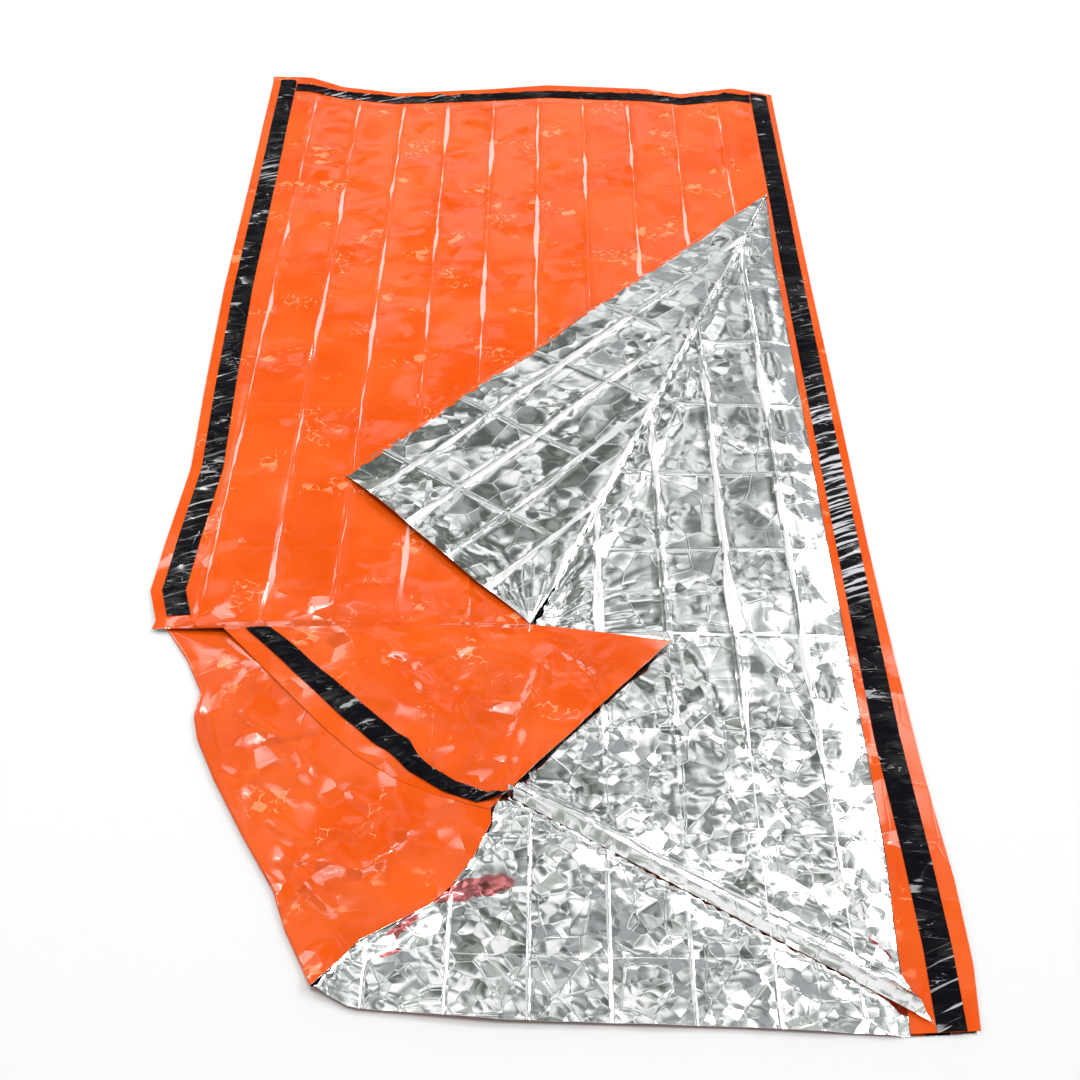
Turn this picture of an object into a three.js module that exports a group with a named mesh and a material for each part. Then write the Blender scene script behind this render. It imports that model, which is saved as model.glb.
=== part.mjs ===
// Emergency sleeping bag, laid open on a flat surface.
// Two sheets of metallised film, orange outside and silver inside, are joined by black tape along both
// long sides and across the foot. The front sheet is turned back over itself at the right, and the
// near-left corner of the bag is pulled round, so the silver inside shows.
//
// Millimetres, +Z up. Inside this file x runs across the bag and y runs from the mouth (0) to the foot.
import * as THREE from "three";

// ---------- driving sizes ----------
const FILM = 1.2; // thickness that stands for the film and the air caught in it
const TAPE = 1.0; // thickness that stands for the tape
const TAPE_WIDTH = 30;
const TAPE_GAP = 0.3; // between the tape and the sheet below it
const SEAM_GAP = 0.3; // between the two sheets at a taped seam
const PANEL = 83; // spacing of the lengthwise packing creases
const PLEAT = 82.5; // spacing of the rows; every second one is a crosswise packing crease
const BEND_STEPS = 5; // flats round a half-round fold

// ---------- levels of the middle of each layer ----------
const BACK_Z = FILM / 2;
const SEAM_Z = BACK_Z + FILM + SEAM_GAP;
const FRONT_Z = 3.0;
const CORNER_Z = 9.0; // the pulled-round mouth corner of the front sheet, above everything
const UNDER_Z = 5.0; // the part of the front sheet turned under that corner
const CREASE = 1.2; // height of a packing crease
const FLAP_RISE = 3.6; // flap above the sheet it lies on
const LIP = 6; // how far the near edge of the flap stands up
const SWELL = 1.0; // of the pulled-round corner
const MOUTH_DROP = 1.5; // how much lower the corner lies at the mouth
const MOUTH_ROLL = 7; // height of the rolled ridge from the mouth corner to the right tape

const FLAP_RADIUS = 3.2;
const OVER_RADIUS = 2.0; // fold of the back sheet at the left
const UNDER_RADIUS = 2.0; // fold of the front sheet at the point of the mouth corner
const TIP_RADIUS = 0.8; // a fold where it dies out

// ---------- named places on the laid-out bag ----------
const FLAP_TOP = [426, 1709]; // where the right side begins to turn over
const FLAP_FOOT = [30, 585]; // near end of the flap's fold line
const FLAP_CORNER_Y = 670; // the flap's corner, before it was turned over
const NEAR_ROW_Y = 628; // a row between the flap's foot and that corner
const FIRST_REGULAR_Y = 674.5; // from here on the rows are a pleat apart
const WEB_END_X = -350; // where the near edge of the flat field meets the pulled-round corner
const POINT = [202, 558]; // the orange point, where the mouth edge turns under
const UNDER_CORNER = [8, 306]; // hidden corner of the turned-under part
const MOUTH_RIGHT = [430, 6]; // right end of the mouth

// The plan of the bag's two sides, one row for each change of direction.
const SIDES = [
  { y: -20, left: -452, right: 476 },
  { y: 79, left: -456, right: 485 },
  { y: 189, left: -438, right: 485 },
  { y: 284, left: -425, right: 480 },
  { y: 358, left: -432, right: 477 },
  { y: 533, left: -444, right: 473 },
  { y: 600, left: -434, right: 472 },
  { y: 660, left: -451, right: 471 },
  { y: 760, left: -448, right: 470 },
  { y: 920, left: -440, right: 470 },
  { y: 1120, left: -450, right: 470 },
  { y: 1400, left: -461, right: 469 },
  { y: 1800, left: -467, right: 470 },
  { y: 2200, left: -475, right: 472 },
];
// The right tape's inner edge, and how wide the front sheet shows inside it below the flap.
const RIGHT_TAPE = [
  { y: -20, inner: 434, strip: 26 },
  { y: 100, inner: 437, strip: 26 },
  { y: 222, inner: 435, strip: 18 },
  { y: 400, inner: 429, strip: 11 },
  { y: 1500, inner: 428, strip: 9 },
  { y: 1709, inner: 430, strip: 4 },
  { y: 2200, inner: 432, strip: 6 },
];
// The closed foot end: its wavy line, and how far its raw edge curls up.
const FOOT = [
  { x: -480, y: 2168, curl: 7 },
  { x: -400, y: 2160, curl: 9 },
  { x: -335, y: 2128, curl: 4 },
  { x: -228, y: 2106, curl: 2 },
  { x: -60, y: 2120, curl: 4 },
  { x: 51, y: 2134, curl: 6 },
  { x: 235, y: 2120, curl: 5 },
  { x: 300, y: 2104, curl: 2 },
  { x: 397, y: 2124, curl: 5 },
  { x: 480, y: 2098, curl: 2 },
];
// The mouth edge of the back sheet, from its turned-over left end to its right end.
const MOUTH = [
  { x: -460, y: 79 },
  { x: -183, y: 46 },
  { x: -143, y: 22 },
  { x: 6, y: 8 },
  { x: 242, y: 1 },
  { x: 401, y: -8 },
  { x: 485, y: -3 },
];
// The fold line along which the left of the back sheet turns over, up to where it dies out.
const OVER_FOLD = [
  { y: 30, x: -176 },
  { y: 46, x: -183 },
  { y: 76, x: -196 },
  { y: 120, x: -217 },
  { y: 174, x: -236 },
  { y: 251, x: -279 },
  { y: 333, x: -321 },
  { y: 396, x: -349 },
  { y: 434, x: -359 },
  { y: 474, x: -357 },
  { y: 532, x: -383 },
  { y: 586, x: -416 },
];
const OVER_END_Y = 572;
const OVER_OUT = [-0.925, -0.379]; // square to that fold, away from the bag
const OVER_TUCK = [14, 19]; // how far the turned-over side reaches in under the pulled-round corner
// The mouth edge of the turned-over side, by its share of the way from the fold to the corner.
const OVER_MOUTH = [
  { share: 0, x: -183, y: 46 },
  { share: 0.22, x: -140, y: 104 },
  { share: 0.37, x: -100, y: 130 },
  { share: 0.48, x: -70, y: 150 },
  { share: 0.58, x: -50, y: 174 },
  { share: 0.73, x: -28, y: 213 },
  { share: 0.9, x: -9, y: 266 },
  { share: 1, x: -11, y: 296 },
];
const OVER_MOUTH_REACH = 260; // how far back from the mouth that edge is felt

const SEAM_MARGIN = 15; // raw edge outside the tape

// Outer seam edge of the pulled-round corner, from the flat field (share 0) to the mouth (1).
const CORNER_SEAM = [
  { share: 0, x: WEB_END_X, y: FLAP_FOOT[1] },
  { share: 0.12, x: -318, y: 546 },
  { share: 0.3, x: -270, y: 487 },
  { share: 0.5, x: -212, y: 416 },
  { share: 0.65, x: -168, y: 368 },
  { share: 0.8, x: -120, y: 330 },
  { share: 0.9, x: -70, y: 304 },
  { share: 1, x: -12, y: 284 },
];

// The tape there: how far in from that edge it lies, and how wide it is where it is gathered.
const MOUTH_TAPE = [
  { share: 0, margin: 26, width: 30 },
  { share: 0.7, margin: 26, width: 30 },
  { share: 0.76, margin: 22, width: 23 },
  { share: 0.9, margin: 8, width: 20 },
  { share: 1, margin: 3, width: 18 },
];

// ---------- small helpers ----------
const mix = (a, b, t) => a + (b - a) * t;
const mixPoint = (p, q, t) => p.map((value, k) => mix(value, q[k], t));
const clamp = (v, low, high) => Math.min(Math.max(v, low), high);
const ease = (t) => {
  const c = clamp(t, 0, 1);
  return c * c * (3 - 2 * c);
};

// Reads column `name` of a table at a value of its `key` column, straight between the rows.
function read(table, key, at, name) {
  const next = table.findIndex((row) => row[key] >= at);
  if (next === 0) return table[0][name];
  if (next < 0) return table[table.length - 1][name];
  const a = table[next - 1];
  const b = table[next];
  return mix(a[name], b[name], (at - a[key]) / (b[key] - a[key]));
}

const leftSide = (y) => read(SIDES, "y", y, "left");
const rightSide = (y) => read(SIDES, "y", y, "right");
const tapeInner = (y) => read(RIGHT_TAPE, "y", y, "inner");
const stripInner = (y) => tapeInner(y) - read(RIGHT_TAPE, "y", y, "strip");

// Mirror image of a plan point in the line from `a` to `b`.
function mirror(point, a, b) {
  const along = new THREE.Vector2(b[0] - a[0], b[1] - a[1]).normalize();
  const from = new THREE.Vector2(point[0] - a[0], point[1] - a[1]);
  const foot = along.clone().multiplyScalar(from.dot(along));
  return [a[0] + 2 * foot.x - from.x, a[1] + 2 * foot.y - from.y];
}

// ---------- a sheet: rows of points, joined, then given its thickness ----------
class Sheet {
  constructor() {
    this.points = [];
    this.index = new Map();
    this.faces = [];
  }

  vertex([x, y, z]) {
    const key = [x, y, z].map((v) => Math.round(v * 100)).join();
    if (!this.index.has(key)) {
      this.index.set(key, this.points.length);
      this.points.push(new THREE.Vector3(x, y, z));
    }
    return this.index.get(key);
  }

  face(a, b, c) {
    if (a !== b && b !== c && c !== a) this.faces.push([a, b, c]);
  }

  // Fills between neighbouring rows, which all have the same number of points.
  patch(rows) {
    const ids = rows.map((row) => row.map((point) => this.vertex(point)));
    for (let i = 0; i + 1 < ids.length; i++)
      for (let j = 0; j + 1 < ids[i].length; j++) {
        const [a, b, c, d] = [ids[i][j], ids[i][j + 1], ids[i + 1][j + 1], ids[i + 1][j]];
        this.face(a, b, c);
        this.face(a, c, d);
      }
  }

  // The closed solid that lies half the thickness to each side of the sheet.
  solid(thickness) {
    const normals = this.points.map(() => new THREE.Vector3());
    const edges = new Map();
    for (const [a, b, c] of this.faces) {
      const ab = this.points[b].clone().sub(this.points[a]);
      const ac = this.points[c].clone().sub(this.points[a]);
      const area = ab.cross(ac);
      [a, b, c].forEach((v) => normals[v].add(area));
      [[a, b], [b, c], [c, a]].forEach(([p, q]) => edges.set(p + "," + q, [p, q]));
    }
    const count = this.points.length;
    const positions = [];
    for (const side of [1, -1])
      this.points.forEach((point, i) => {
        const shift = normals[i].clone().setLength((side * thickness) / 2);
        positions.push(...point.clone().add(shift).toArray());
      });
    const triangles = [];
    for (const [a, b, c] of this.faces)
      triangles.push(a, b, c, count + c, count + b, count + a);
    for (const [p, q] of edges.values())
      if (!edges.has(q + "," + p)) triangles.push(q, p, count + p, q, count + p, count + q);
    const geometry = new THREE.BufferGeometry();
    geometry.setAttribute("position", new THREE.Float32BufferAttribute(positions, 3));
    geometry.setIndex(triangles);
    return geometry;
  }
}

// Points of a half-round fold from a plan point, starting level at height z and turning towards
// `out` and then back, upwards for rise 1 and downwards for rise -1.
function bend(plan, z, out, radius, rise) {
  return Array.from({ length: BEND_STEPS + 1 }, (_, k) => {
    const angle = (Math.PI * k) / BEND_STEPS;
    const reach = radius * Math.sin(angle);
    const height = radius * (1 - Math.cos(angle));
    return [plan[0] + out[0] * reach, plan[1] + out[1] * reach, z + rise * height];
  });
}

// ---------- the creased grid that both sheets are folded from ----------
const CREASES = Array.from({ length: 10 }, (_, k) => (k - 4.6) * PANEL);
const creaseSign = (k) => (k % 2 ? 1 : 0);
const bodyColumns = (y) => {
  const left = leftSide(y);
  return [left, left + SEAM_MARGIN, left + SEAM_MARGIN + TAPE_WIDTH, ...CREASES];
};
const SEAM_COLUMNS = 3;

// Low zigzag of the packing creases at column j and row i.
const CROSSWISE = 0.6; // height of a crosswise crease as a share of a lengthwise one
const relief = (i, j) =>
  j < SEAM_COLUMNS ? 0 : CREASE * (creaseSign(j - SEAM_COLUMNS) + (i % 2 ? CROSSWISE : 0));

const FOOT_ROWS = [SEAM_MARGIN + TAPE_WIDTH, SEAM_MARGIN, 0]; // distances in from the foot
const FOOT_MEAN_Y = 2120;
const PLAIN_ROWS_END = 2040;
const flatRow = (y) => ({ at: () => y, y, curl: 0 });

// Plan rows of the upper, flat part: regular rows, then three that follow the foot.
function fieldRows(start) {
  const rows = [];
  for (let y = start; y < PLAIN_ROWS_END; y += PLEAT) rows.push(flatRow(y));
  FOOT_ROWS.forEach((inset, k) =>
    rows.push({
      at: (x) => read(FOOT, "x", x, "y") - inset,
      y: FOOT_MEAN_Y - inset,
      curl: k === FOOT_ROWS.length - 1 ? 1 : 0,
    }),
  );
  return rows;
}
const curlAt = (row, x) => row.curl * read(FOOT, "x", x, "curl");

// ---------- front sheet ----------
const foldX = (y) => {
  const t = (y - FLAP_FOOT[1]) / (FLAP_TOP[1] - FLAP_FOOT[1]);
  return y >= FLAP_TOP[1] ? stripInner(y) : mix(FLAP_FOOT[0], FLAP_TOP[0], t);
};

// Right-hand limit of the sheet before it was turned over: the side, or the near edge of the flap.
const flapLimit = (y) => {
  const corner = stripInner(FLAP_TOP[1]);
  const t = (y - FLAP_FOOT[1]) / (FLAP_CORNER_Y - FLAP_FOOT[1]);
  return y >= FLAP_TOP[1] ? stripInner(y) : mix(FLAP_FOOT[0], corner, clamp(t, 0, 1));
};

// Height of the flat field: level, but rising to meet the pulled-round corner at its near edge.
const EDGE_DROP = 5; // how much lower the field's near edge lies at the left seam
const EDGE_DROP_WIDTH = 90;
function fieldZ(x, y) {
  const near = 1 - ease((y - FLAP_FOOT[1]) / PLEAT);
  const top = mix(CORNER_Z - EDGE_DROP, CORNER_Z, ease((x - leftSide(y)) / EDGE_DROP_WIDTH));
  return mix(FRONT_Z, top, near);
}

const fieldRowList = (() => {
  const rows = [flatRow(FLAP_FOOT[1]), flatRow(NEAR_ROW_Y), ...fieldRows(FIRST_REGULAR_Y)];
  // one row passes exactly through the top of the flap's fold line
  const nearest = rows.reduce((best, row, i) =>
    Math.abs(row.y - FLAP_TOP[1]) < Math.abs(rows[best].y - FLAP_TOP[1]) ? i : best, 0);
  rows[nearest] = flatRow(FLAP_TOP[1]);
  return rows;
})();

function frontPoint(row, i, j, x) {
  const y = row.at(x);
  const seam = j < SEAM_COLUMNS ? 1 : 0;
  const near = 1 - ease((y - FLAP_FOOT[1]) / PLEAT);
  const foot = row.y > PLAIN_ROWS_END;
  const level = seam || foot ? mix(SEAM_Z, fieldZ(x, y), near) : fieldZ(x, y) + relief(i, j) * (1 - near);
  return [x, y, level + curlAt(row, x)];
}

const outOfFlap = (() => {
  const fold = new THREE.Vector2(FLAP_TOP[0] - FLAP_FOOT[0], FLAP_TOP[1] - FLAP_FOOT[1]).normalize();
  return [fold.y, -fold.x];
})();

// One row of the front sheet past its fold line: the half-round fold, then the flap beyond it.
const LEAST_STEP = 4; // closer points than this become one
function flapRow(row, i) {
  const y = row.at(0);
  const x = foldX(y);
  const limit = flapLimit(y);
  const flat = y >= FLAP_TOP[1] && row.y !== FLAP_TOP[1];
  const z = flat ? frontPoint(row, i, CREASES.length + SEAM_COLUMNS, x)[2] : fieldZ(x, y);
  const ends = Math.min(y - FLAP_FOOT[1], FLAP_TOP[1] - y) / (2 * PLEAT);
  const radius = flat ? 0 : mix(TIP_RADIUS, FLAP_RADIUS, clamp(ends, 0, 1));
  const turn = bend([x, flat ? row.at(x) : y], z, outOfFlap, radius, 1);
  const end = turn[BEND_STEPS];
  const folded = x + Math.PI * radius;
  const last = flat || limit - folded < LEAST_STEP ? end : flapPoint(limit, y, 0);
  const flap = CREASES.map((crease, k) => {
    if (crease - folded < LEAST_STEP) return end;
    if (limit - crease < LEAST_STEP) return last;
    return flapPoint(crease, y, 2 * CREASE * creaseSign(k));
  });
  return { turn, flap: [end, ...flap, last], last };
}

// A point of the flap: where it was before the fold, mirrored in the fold line.
const LIP_WIDTH = 120; // from the fold to where the flap's near edge stands at its full height
function flapPoint(x, y, crease) {
  const [px, py] = mirror([x, y], FLAP_FOOT, FLAP_TOP);
  const edge = 1 - ease((y - FLAP_FOOT[1]) / (2 * PLEAT));
  const lip = LIP * edge * ease((x - foldX(y)) / LIP_WIDTH);
  return [px, py, fieldZ(px, Math.max(py, FLAP_FOOT[1])) + FLAP_RISE + crease + lip];
}

const CORNER_ROWS = 6;

const cornerSeam = (v) => ["x", "y"].map((axis) => read(CORNER_SEAM, "share", v, axis));
const cornerFold = (v) => mixPoint(FLAP_FOOT, POINT, v);

// Height of the pulled-round corner: one soft swelling, lower at the mouth and at the seam.
function cornerZ(u, v) {
  const swell = SWELL * Math.sin(Math.PI * clamp(u, 0, 1)) * Math.sin(Math.PI * clamp(v, 0, 1));
  return CORNER_Z + swell - MOUTH_DROP * v;
}

function cornerPoint(u, v) {
  const [x, y] = mixPoint(cornerSeam(v), cornerFold(v), u);
  return [x, y, cornerZ(u, v)];
}

// The columns of the corner carry on from the field's, and those left of it gather at its seam.
function cornerRow(v) {
  return bodyColumns(FLAP_FOOT[1]).map((x) => {
    const u = (x - WEB_END_X) / (FLAP_FOOT[0] - WEB_END_X);
    return cornerPoint(clamp(u, 0, 1), v);
  });
}

// The part turned under the point: from the fold to the rolled ridge, and what it rises by there.
const UNDER_OUT = [0.144, 0.99]; // square to the fold at the point, away from the corner
const UNDER_STEPS = [
  { share: 0.06, rise: 0.5 * CREASE },
  { share: 0.25, rise: 0 },
  { share: 0.45, rise: 0.5 * CREASE },
  { share: 0.65, rise: 0 },
  { share: 0.84, rise: 0.5 * CREASE },
  { share: 0.93, rise: 0.5 * CREASE },
  { share: 0.965, rise: MOUTH_ROLL },
  { share: 1, rise: 0 },
];
const FOLD_FULL_AT = 0.25; // share of a fold's length over which it opens to its full radius

function underRow(v) {
  const start = cornerPoint(1, v);
  const radius = mix(TIP_RADIUS, UNDER_RADIUS, clamp(v / FOLD_FULL_AT, 0, 1));
  const turn = bend(start, start[2], UNDER_OUT, radius, -1);
  const under = UNDER_STEPS.map(({ share, rise }) => {
    const [x, y] = mixPoint(cornerFold(v), mixPoint(UNDER_CORNER, MOUTH_RIGHT, v), share);
    return [x, y, mix(turn[BEND_STEPS][2], UNDER_Z, ease(share / FOLD_FULL_AT)) + rise];
  });
  return [...turn, ...under];
}

function frontPanel() {
  const sheet = new Sheet();
  const body = fieldRowList.map((row, i) => {
    const x = foldX(row.at(0));
    return bodyColumns(row.y)
      .map((column, j) => {
        const at = Math.min(column, x);
        return at < x ? frontPoint(row, i, j, at) : flapRow(row, i).turn[0];
      })
      .concat([flapRow(row, i).turn[0]]);
  });
  const cornerRows = Array.from({ length: CORNER_ROWS }, (_, k) => 1 - k / CORNER_ROWS);
  const corner = cornerRows.map((v) => {
    const row = cornerRow(v);
    return [...row, row[row.length - 1]];
  });
  sheet.patch([...corner, ...body]);
  sheet.patch(fieldRowList.map((row, i) => flapRow(row, i)).map(({ turn, flap }) => [...turn, ...flap]));
  sheet.patch([...cornerRows, 0].map(underRow));
  sheet.patch(stripRows());
  return sheet.solid(FILM);
}

// The strip of the front sheet that stays at the right seam, joined to the field above the flap.
const MOUTH_SETBACK = 2; // of the front sheet behind the back one
function stripRows() {
  const rows = [];
  for (let y = 0; y < FLAP_FOOT[1]; y += PLEAT)
    rows.push({ at: (x) => (y === 0 ? read(MOUTH, "x", x, "y") + MOUTH_SETBACK : y), y, curl: 0 });
  return [...rows, ...fieldRowList.slice(1)].map((row) => {
    const inner = stripInner(row.y);
    const taped = tapeInner(row.y);
    const own = [inner, row.at(inner), SEAM_Z];
    const joined = row.y >= FLAP_TOP[1];
    const start = joined ? flapRow(row, fieldRowList.indexOf(row)).last : own;
    return [start, ...[taped, taped + TAPE_WIDTH, rightSide(row.y)].map((x) =>
      [x, row.at(x), SEAM_Z + curlAt(row, x)])];
  });
}

// ---------- back sheet ----------
const BACK_INSET = 1; // the back sheet lies a hair inside the front one
const BACK_CURL = 0.5; // its curl at the foot as a share of the front sheet's

// Where the silver inside lies open, beyond the edge of the layers on top, the creases stand up.
const OPEN_FROM = 30; // distance from that edge at which they begin to rise
const OPEN_RISE = 40; // width over which they do
const OPEN_CREASE = 1.5; // their height as a share of the field's creases
const SEAM_CLEAR = 20; // no crease closer than this to the last lengthwise one
const STRIP_CLEAR = 4; // level margin beside the strip at the right
function openness(x, y) {
  const down = clamp((POINT[1] - y) / (POINT[1] - MOUTH_RIGHT[1]), 0, 1);
  const edge = y < FLAP_FOOT[1] ? mix(POINT[0], MOUTH_RIGHT[0], down) : foldX(y);
  return ease((x - OPEN_FROM - edge) / OPEN_RISE);
}

function backPoint(x, y, i, j, curl) {
  const lift = openness(x, y);
  const edge = x > CREASES[CREASES.length - 1] + SEAM_CLEAR ? 0 : 1;
  return [x, y, BACK_Z + OPEN_CREASE * relief(i, j) * lift * edge + curl];
}

const backRows = (() => {
  const rows = [];
  const nearMouth = (y) => 1 - clamp(y / (2 * PLEAT), 0, 1);
  for (let y = 0; y < PLAIN_ROWS_END; y += PLEAT)
    rows.push({ at: (x) => y + nearMouth(y) * read(MOUTH, "x", x, "y"), y, curl: 0 });
  return [...rows, ...fieldRows(PLAIN_ROWS_END)];
})();

// Where a row of the back sheet meets the fold line at the left.
function overFoldX(row) {
  let x = OVER_FOLD[1].x;
  for (let k = 0; k < 8; k++) x = read(OVER_FOLD, "y", row.at(x), "x");
  return x;
}

function backPanel() {
  const sheet = new Sheet();
  const folded = backRows.filter((row) => row.y < OVER_END_Y);
  const rows = backRows.map((row, i) => {
    const isFolded = folded.includes(row);
    const x0 = isFolded ? overFoldX(row) : leftSide(row.y) + BACK_INSET;
    const taped = tapeInner(row.y);
    const columns = [...bodyColumns(row.y), stripInner(row.y) - STRIP_CLEAR, taped, taped + TAPE_WIDTH];
    const body = columns.map((column, j) => {
      const x = Math.max(column, x0);
      return backPoint(x, row.at(x), i, j, BACK_CURL * curlAt(row, x));
    });
    const right = rightSide(row.y) - BACK_INSET;
    return [...body, backPoint(right, row.at(right), i, 0, BACK_CURL * curlAt(row, right))];
  });
  sheet.patch(rows);
  const last = backRows[folded.length];
  const over = folded.map((row, i) => overRow(row, i));
  const stop = [leftSide(last.y) + BACK_INSET, last.at(leftSide(last.y)), BACK_Z];
  sheet.patch([...over, over[0].map(() => stop)]);
  return sheet.solid(FILM);
}

// The turned-over left of a row, from its far edge to the fold line.
const OVER_SHARES = [1, 0.8, 0.6, 0.4, 0.2, 0.05];
function overRow(row, i) {
  const x = overFoldX(row);
  const y = row.at(x);
  const ends = clamp((OVER_END_Y - y) / (2 * PLEAT), 0, 1);
  const radius = mix(TIP_RADIUS, OVER_RADIUS, ends);
  const turn = bend([x, y], BACK_Z, OVER_OUT, radius, 1);
  const end = cornerSeam(1 - row.y / OVER_END_Y).map((value, k) => value + OVER_TUCK[k]);
  const mouthShare = ease(1 - row.y / OVER_MOUTH_REACH);
  const over = OVER_SHARES.map((share, k) => {
    const plan = mixPoint([x, y], end, share);
    const mouth = ["x", "y"].map((axis) => read(OVER_MOUTH, "share", share, axis));
    const height = turn[BEND_STEPS][2] + CREASE * ((i + k) % 2) * ends;
    return [...mixPoint(plan, mouth, mouthShare), height];
  });
  return [...over, ...turn.reverse()];
}

// ---------- tape ----------
const TAPE_RISE = FILM / 2 + TAPE_GAP + TAPE / 2;

function tape(rows) {
  const sheet = new Sheet();
  sheet.patch(rows.map((row) => row.map(([x, y, z]) => [x, y, z + TAPE_RISE])));
  return sheet.solid(TAPE);
}

function rightTape() {
  return tape(stripRows().slice(0, -1).map((row) => [row[1], row[2]]));
}

const LEFT_TAPE_START = 0.3; // where the left tape begins between the first two rows
function leftTape() {
  const rows = fieldRowList.slice(0, -1).map((row, i) => {
    const columns = bodyColumns(row.y);
    return [1, 2].map((j) => frontPoint(row, i, j, columns[j]));
  });
  rows[0] = rows[0].map((point, j) => mixPoint(point, rows[1][j], LEFT_TAPE_START));
  return tape(rows);
}

const MOUTH_TAPE_SPAN = [0.03, 0.96]; // where it begins and ends along the corner's seam
const MOUTH_TAPE_RISE = 0.6; // clear of the swelling under it
function mouthTape() {
  const rows = [];
  for (let k = 0; k <= CORNER_ROWS; k++) {
    const v = clamp(1 - k / CORNER_ROWS, ...MOUTH_TAPE_SPAN);
    const width = new THREE.Vector2(...cornerSeam(v)).distanceTo(new THREE.Vector2(...cornerFold(v)));
    const margin = read(MOUTH_TAPE, "share", v, "margin");
    rows.push([margin, margin + read(MOUTH_TAPE, "share", v, "width")].map((inset) => {
      const point = cornerPoint(inset / width, v);
      return [point[0], point[1], point[2] + MOUTH_TAPE_RISE];
    }));
  }
  return tape(rows);
}

const TAPE_CLEAR = 1; // between the ends of the foot tape and the side tapes
function footTape() {
  const end = fieldRowList.length - 1;
  const rows = [end - 2, end - 1].map((i) => {
    const row = fieldRowList[i];
    const leftTapeEnd = bodyColumns(row.y)[SEAM_COLUMNS - 1];
    const xs = [leftTapeEnd + TAPE_CLEAR, ...CREASES, tapeInner(row.y) - TAPE_CLEAR];
    return xs.map((x) => frontPoint(row, i, SEAM_COLUMNS, x));
  });
  return tape(rows);
}

// ---------- materials and assembly ----------
const film = new THREE.MeshStandardMaterial({ color: 0xf2601c, roughness: 0.3, metalness: 0.1 });
const silver = new THREE.MeshStandardMaterial({ color: 0xd5d7d9, roughness: 0.16, metalness: 1 });
const blackTape = new THREE.MeshStandardMaterial({ color: 0x141316, roughness: 0.25, metalness: 0 });

const PIECES = [
  { name: "back_panel", make: backPanel, material: silver },
  { name: "front_panel", make: frontPanel, material: film },
  { name: "tape_right", make: rightTape, material: blackTape },
  { name: "tape_left", make: leftTape, material: blackTape },
  { name: "tape_mouth", make: mouthTape, material: blackTape },
  { name: "tape_foot", make: footTape, material: blackTape },
];

const bag = new THREE.Group();
bag.name = "emergency_sleeping_bag";
for (const { name, make, material } of PIECES) {
  const mesh = new THREE.Mesh(make(), material);
  mesh.name = name;
  bag.add(mesh);
}
// The bag's own origin is under the middle of its box, on the surface that it lies on.
const middle = new THREE.Box3().setFromObject(bag).getCenter(new THREE.Vector3());
bag.position.set(-middle.x, -middle.y, 0);

export default bag;
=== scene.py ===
# %% [markdown]
# # An emergency sleeping bag in metallised film
#
# The bag is two sheets of thin film, orange outside and mirror-bright inside, joined by black tape
# down both long sides and across the foot. It lies open: the front sheet is turned back over itself
# at the right, and its near-left corner is pulled round, so that the silver inside shows.
#
# This lesson builds it sheet by sheet. Every sheet starts as the flat pattern that a maker would
# cut, is creased as it was packed, and is then folded into place by one formula per fold.

# %% Load the fixed frame
import math

import bpy
import numpy as np
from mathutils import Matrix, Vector
from mathutils.bvhtree import BVHTree
from mathutils.geometry import delaunay_2d_cdt


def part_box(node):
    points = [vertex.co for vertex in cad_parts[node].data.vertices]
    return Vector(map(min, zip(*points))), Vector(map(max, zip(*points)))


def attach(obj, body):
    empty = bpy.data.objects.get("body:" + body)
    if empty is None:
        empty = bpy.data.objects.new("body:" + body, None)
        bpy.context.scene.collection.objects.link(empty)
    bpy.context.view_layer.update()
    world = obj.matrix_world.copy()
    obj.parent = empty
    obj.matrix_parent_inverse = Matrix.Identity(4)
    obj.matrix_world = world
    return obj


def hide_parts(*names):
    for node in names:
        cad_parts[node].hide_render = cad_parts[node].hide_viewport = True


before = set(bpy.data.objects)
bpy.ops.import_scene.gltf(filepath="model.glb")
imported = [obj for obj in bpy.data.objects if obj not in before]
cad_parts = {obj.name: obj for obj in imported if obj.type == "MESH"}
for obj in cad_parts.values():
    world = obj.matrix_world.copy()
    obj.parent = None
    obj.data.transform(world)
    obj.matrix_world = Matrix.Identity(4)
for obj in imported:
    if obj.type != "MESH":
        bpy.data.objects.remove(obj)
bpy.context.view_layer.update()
print("nodes in the frame:", ", ".join(sorted(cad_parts)))

# %% [markdown]
# ## Where the drawing lies
#
# The bag was drawn with x across it and y from the mouth to the foot, in millimetres. The drawing
# is tied to the frame by two edges of the back sheet: its right-hand reach and its nearest point.
# From here on every shape is worked out on the drawing and moved once, at the end.

# %% The drawing's place in the frame
MM = 0.001
RIGHT_REACH = 484.0  # of the back sheet, on the drawing
NEAR_REACH = -8.0

back_low, back_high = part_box("back_panel")
DRAWING_X = back_high.x - RIGHT_REACH * MM
DRAWING_Y = back_low.y - NEAR_REACH * MM


def place(x, y, z):
    """A point of the drawing, in millimetres, as a point of the frame, in metres."""
    return Vector((DRAWING_X + x * MM, DRAWING_Y + y * MM, z * MM))


print("drawing origin in the frame:", round(DRAWING_X, 4), round(DRAWING_Y, 4))

# %% [markdown]
# ## Camera, floor and light
#
# The bag is seen from its mouth, from about a standing person's eye, looking down at the middle. A
# mirror shows only what is round it, so for foil the surroundings matter as much as the lamps: in a
# world that is all white it looks like paper. A built room would do, but patches of noise on the
# world are quicker to change. They are grey on white, olive at the left and bluish at the right,
# with darker ones in the wall and the ceiling that the silver faces. Two suns light the floor, two
# softboxes make the pale facets of the orange film, and thin tubes make small glints.

# %% Camera
EYE = place(50, -1089, 1493)
PITCH_DOWN = 38.8
TURN_LEFT = 0.25
LENS_MM = 60.5
SENSOR_MM = 36

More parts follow.
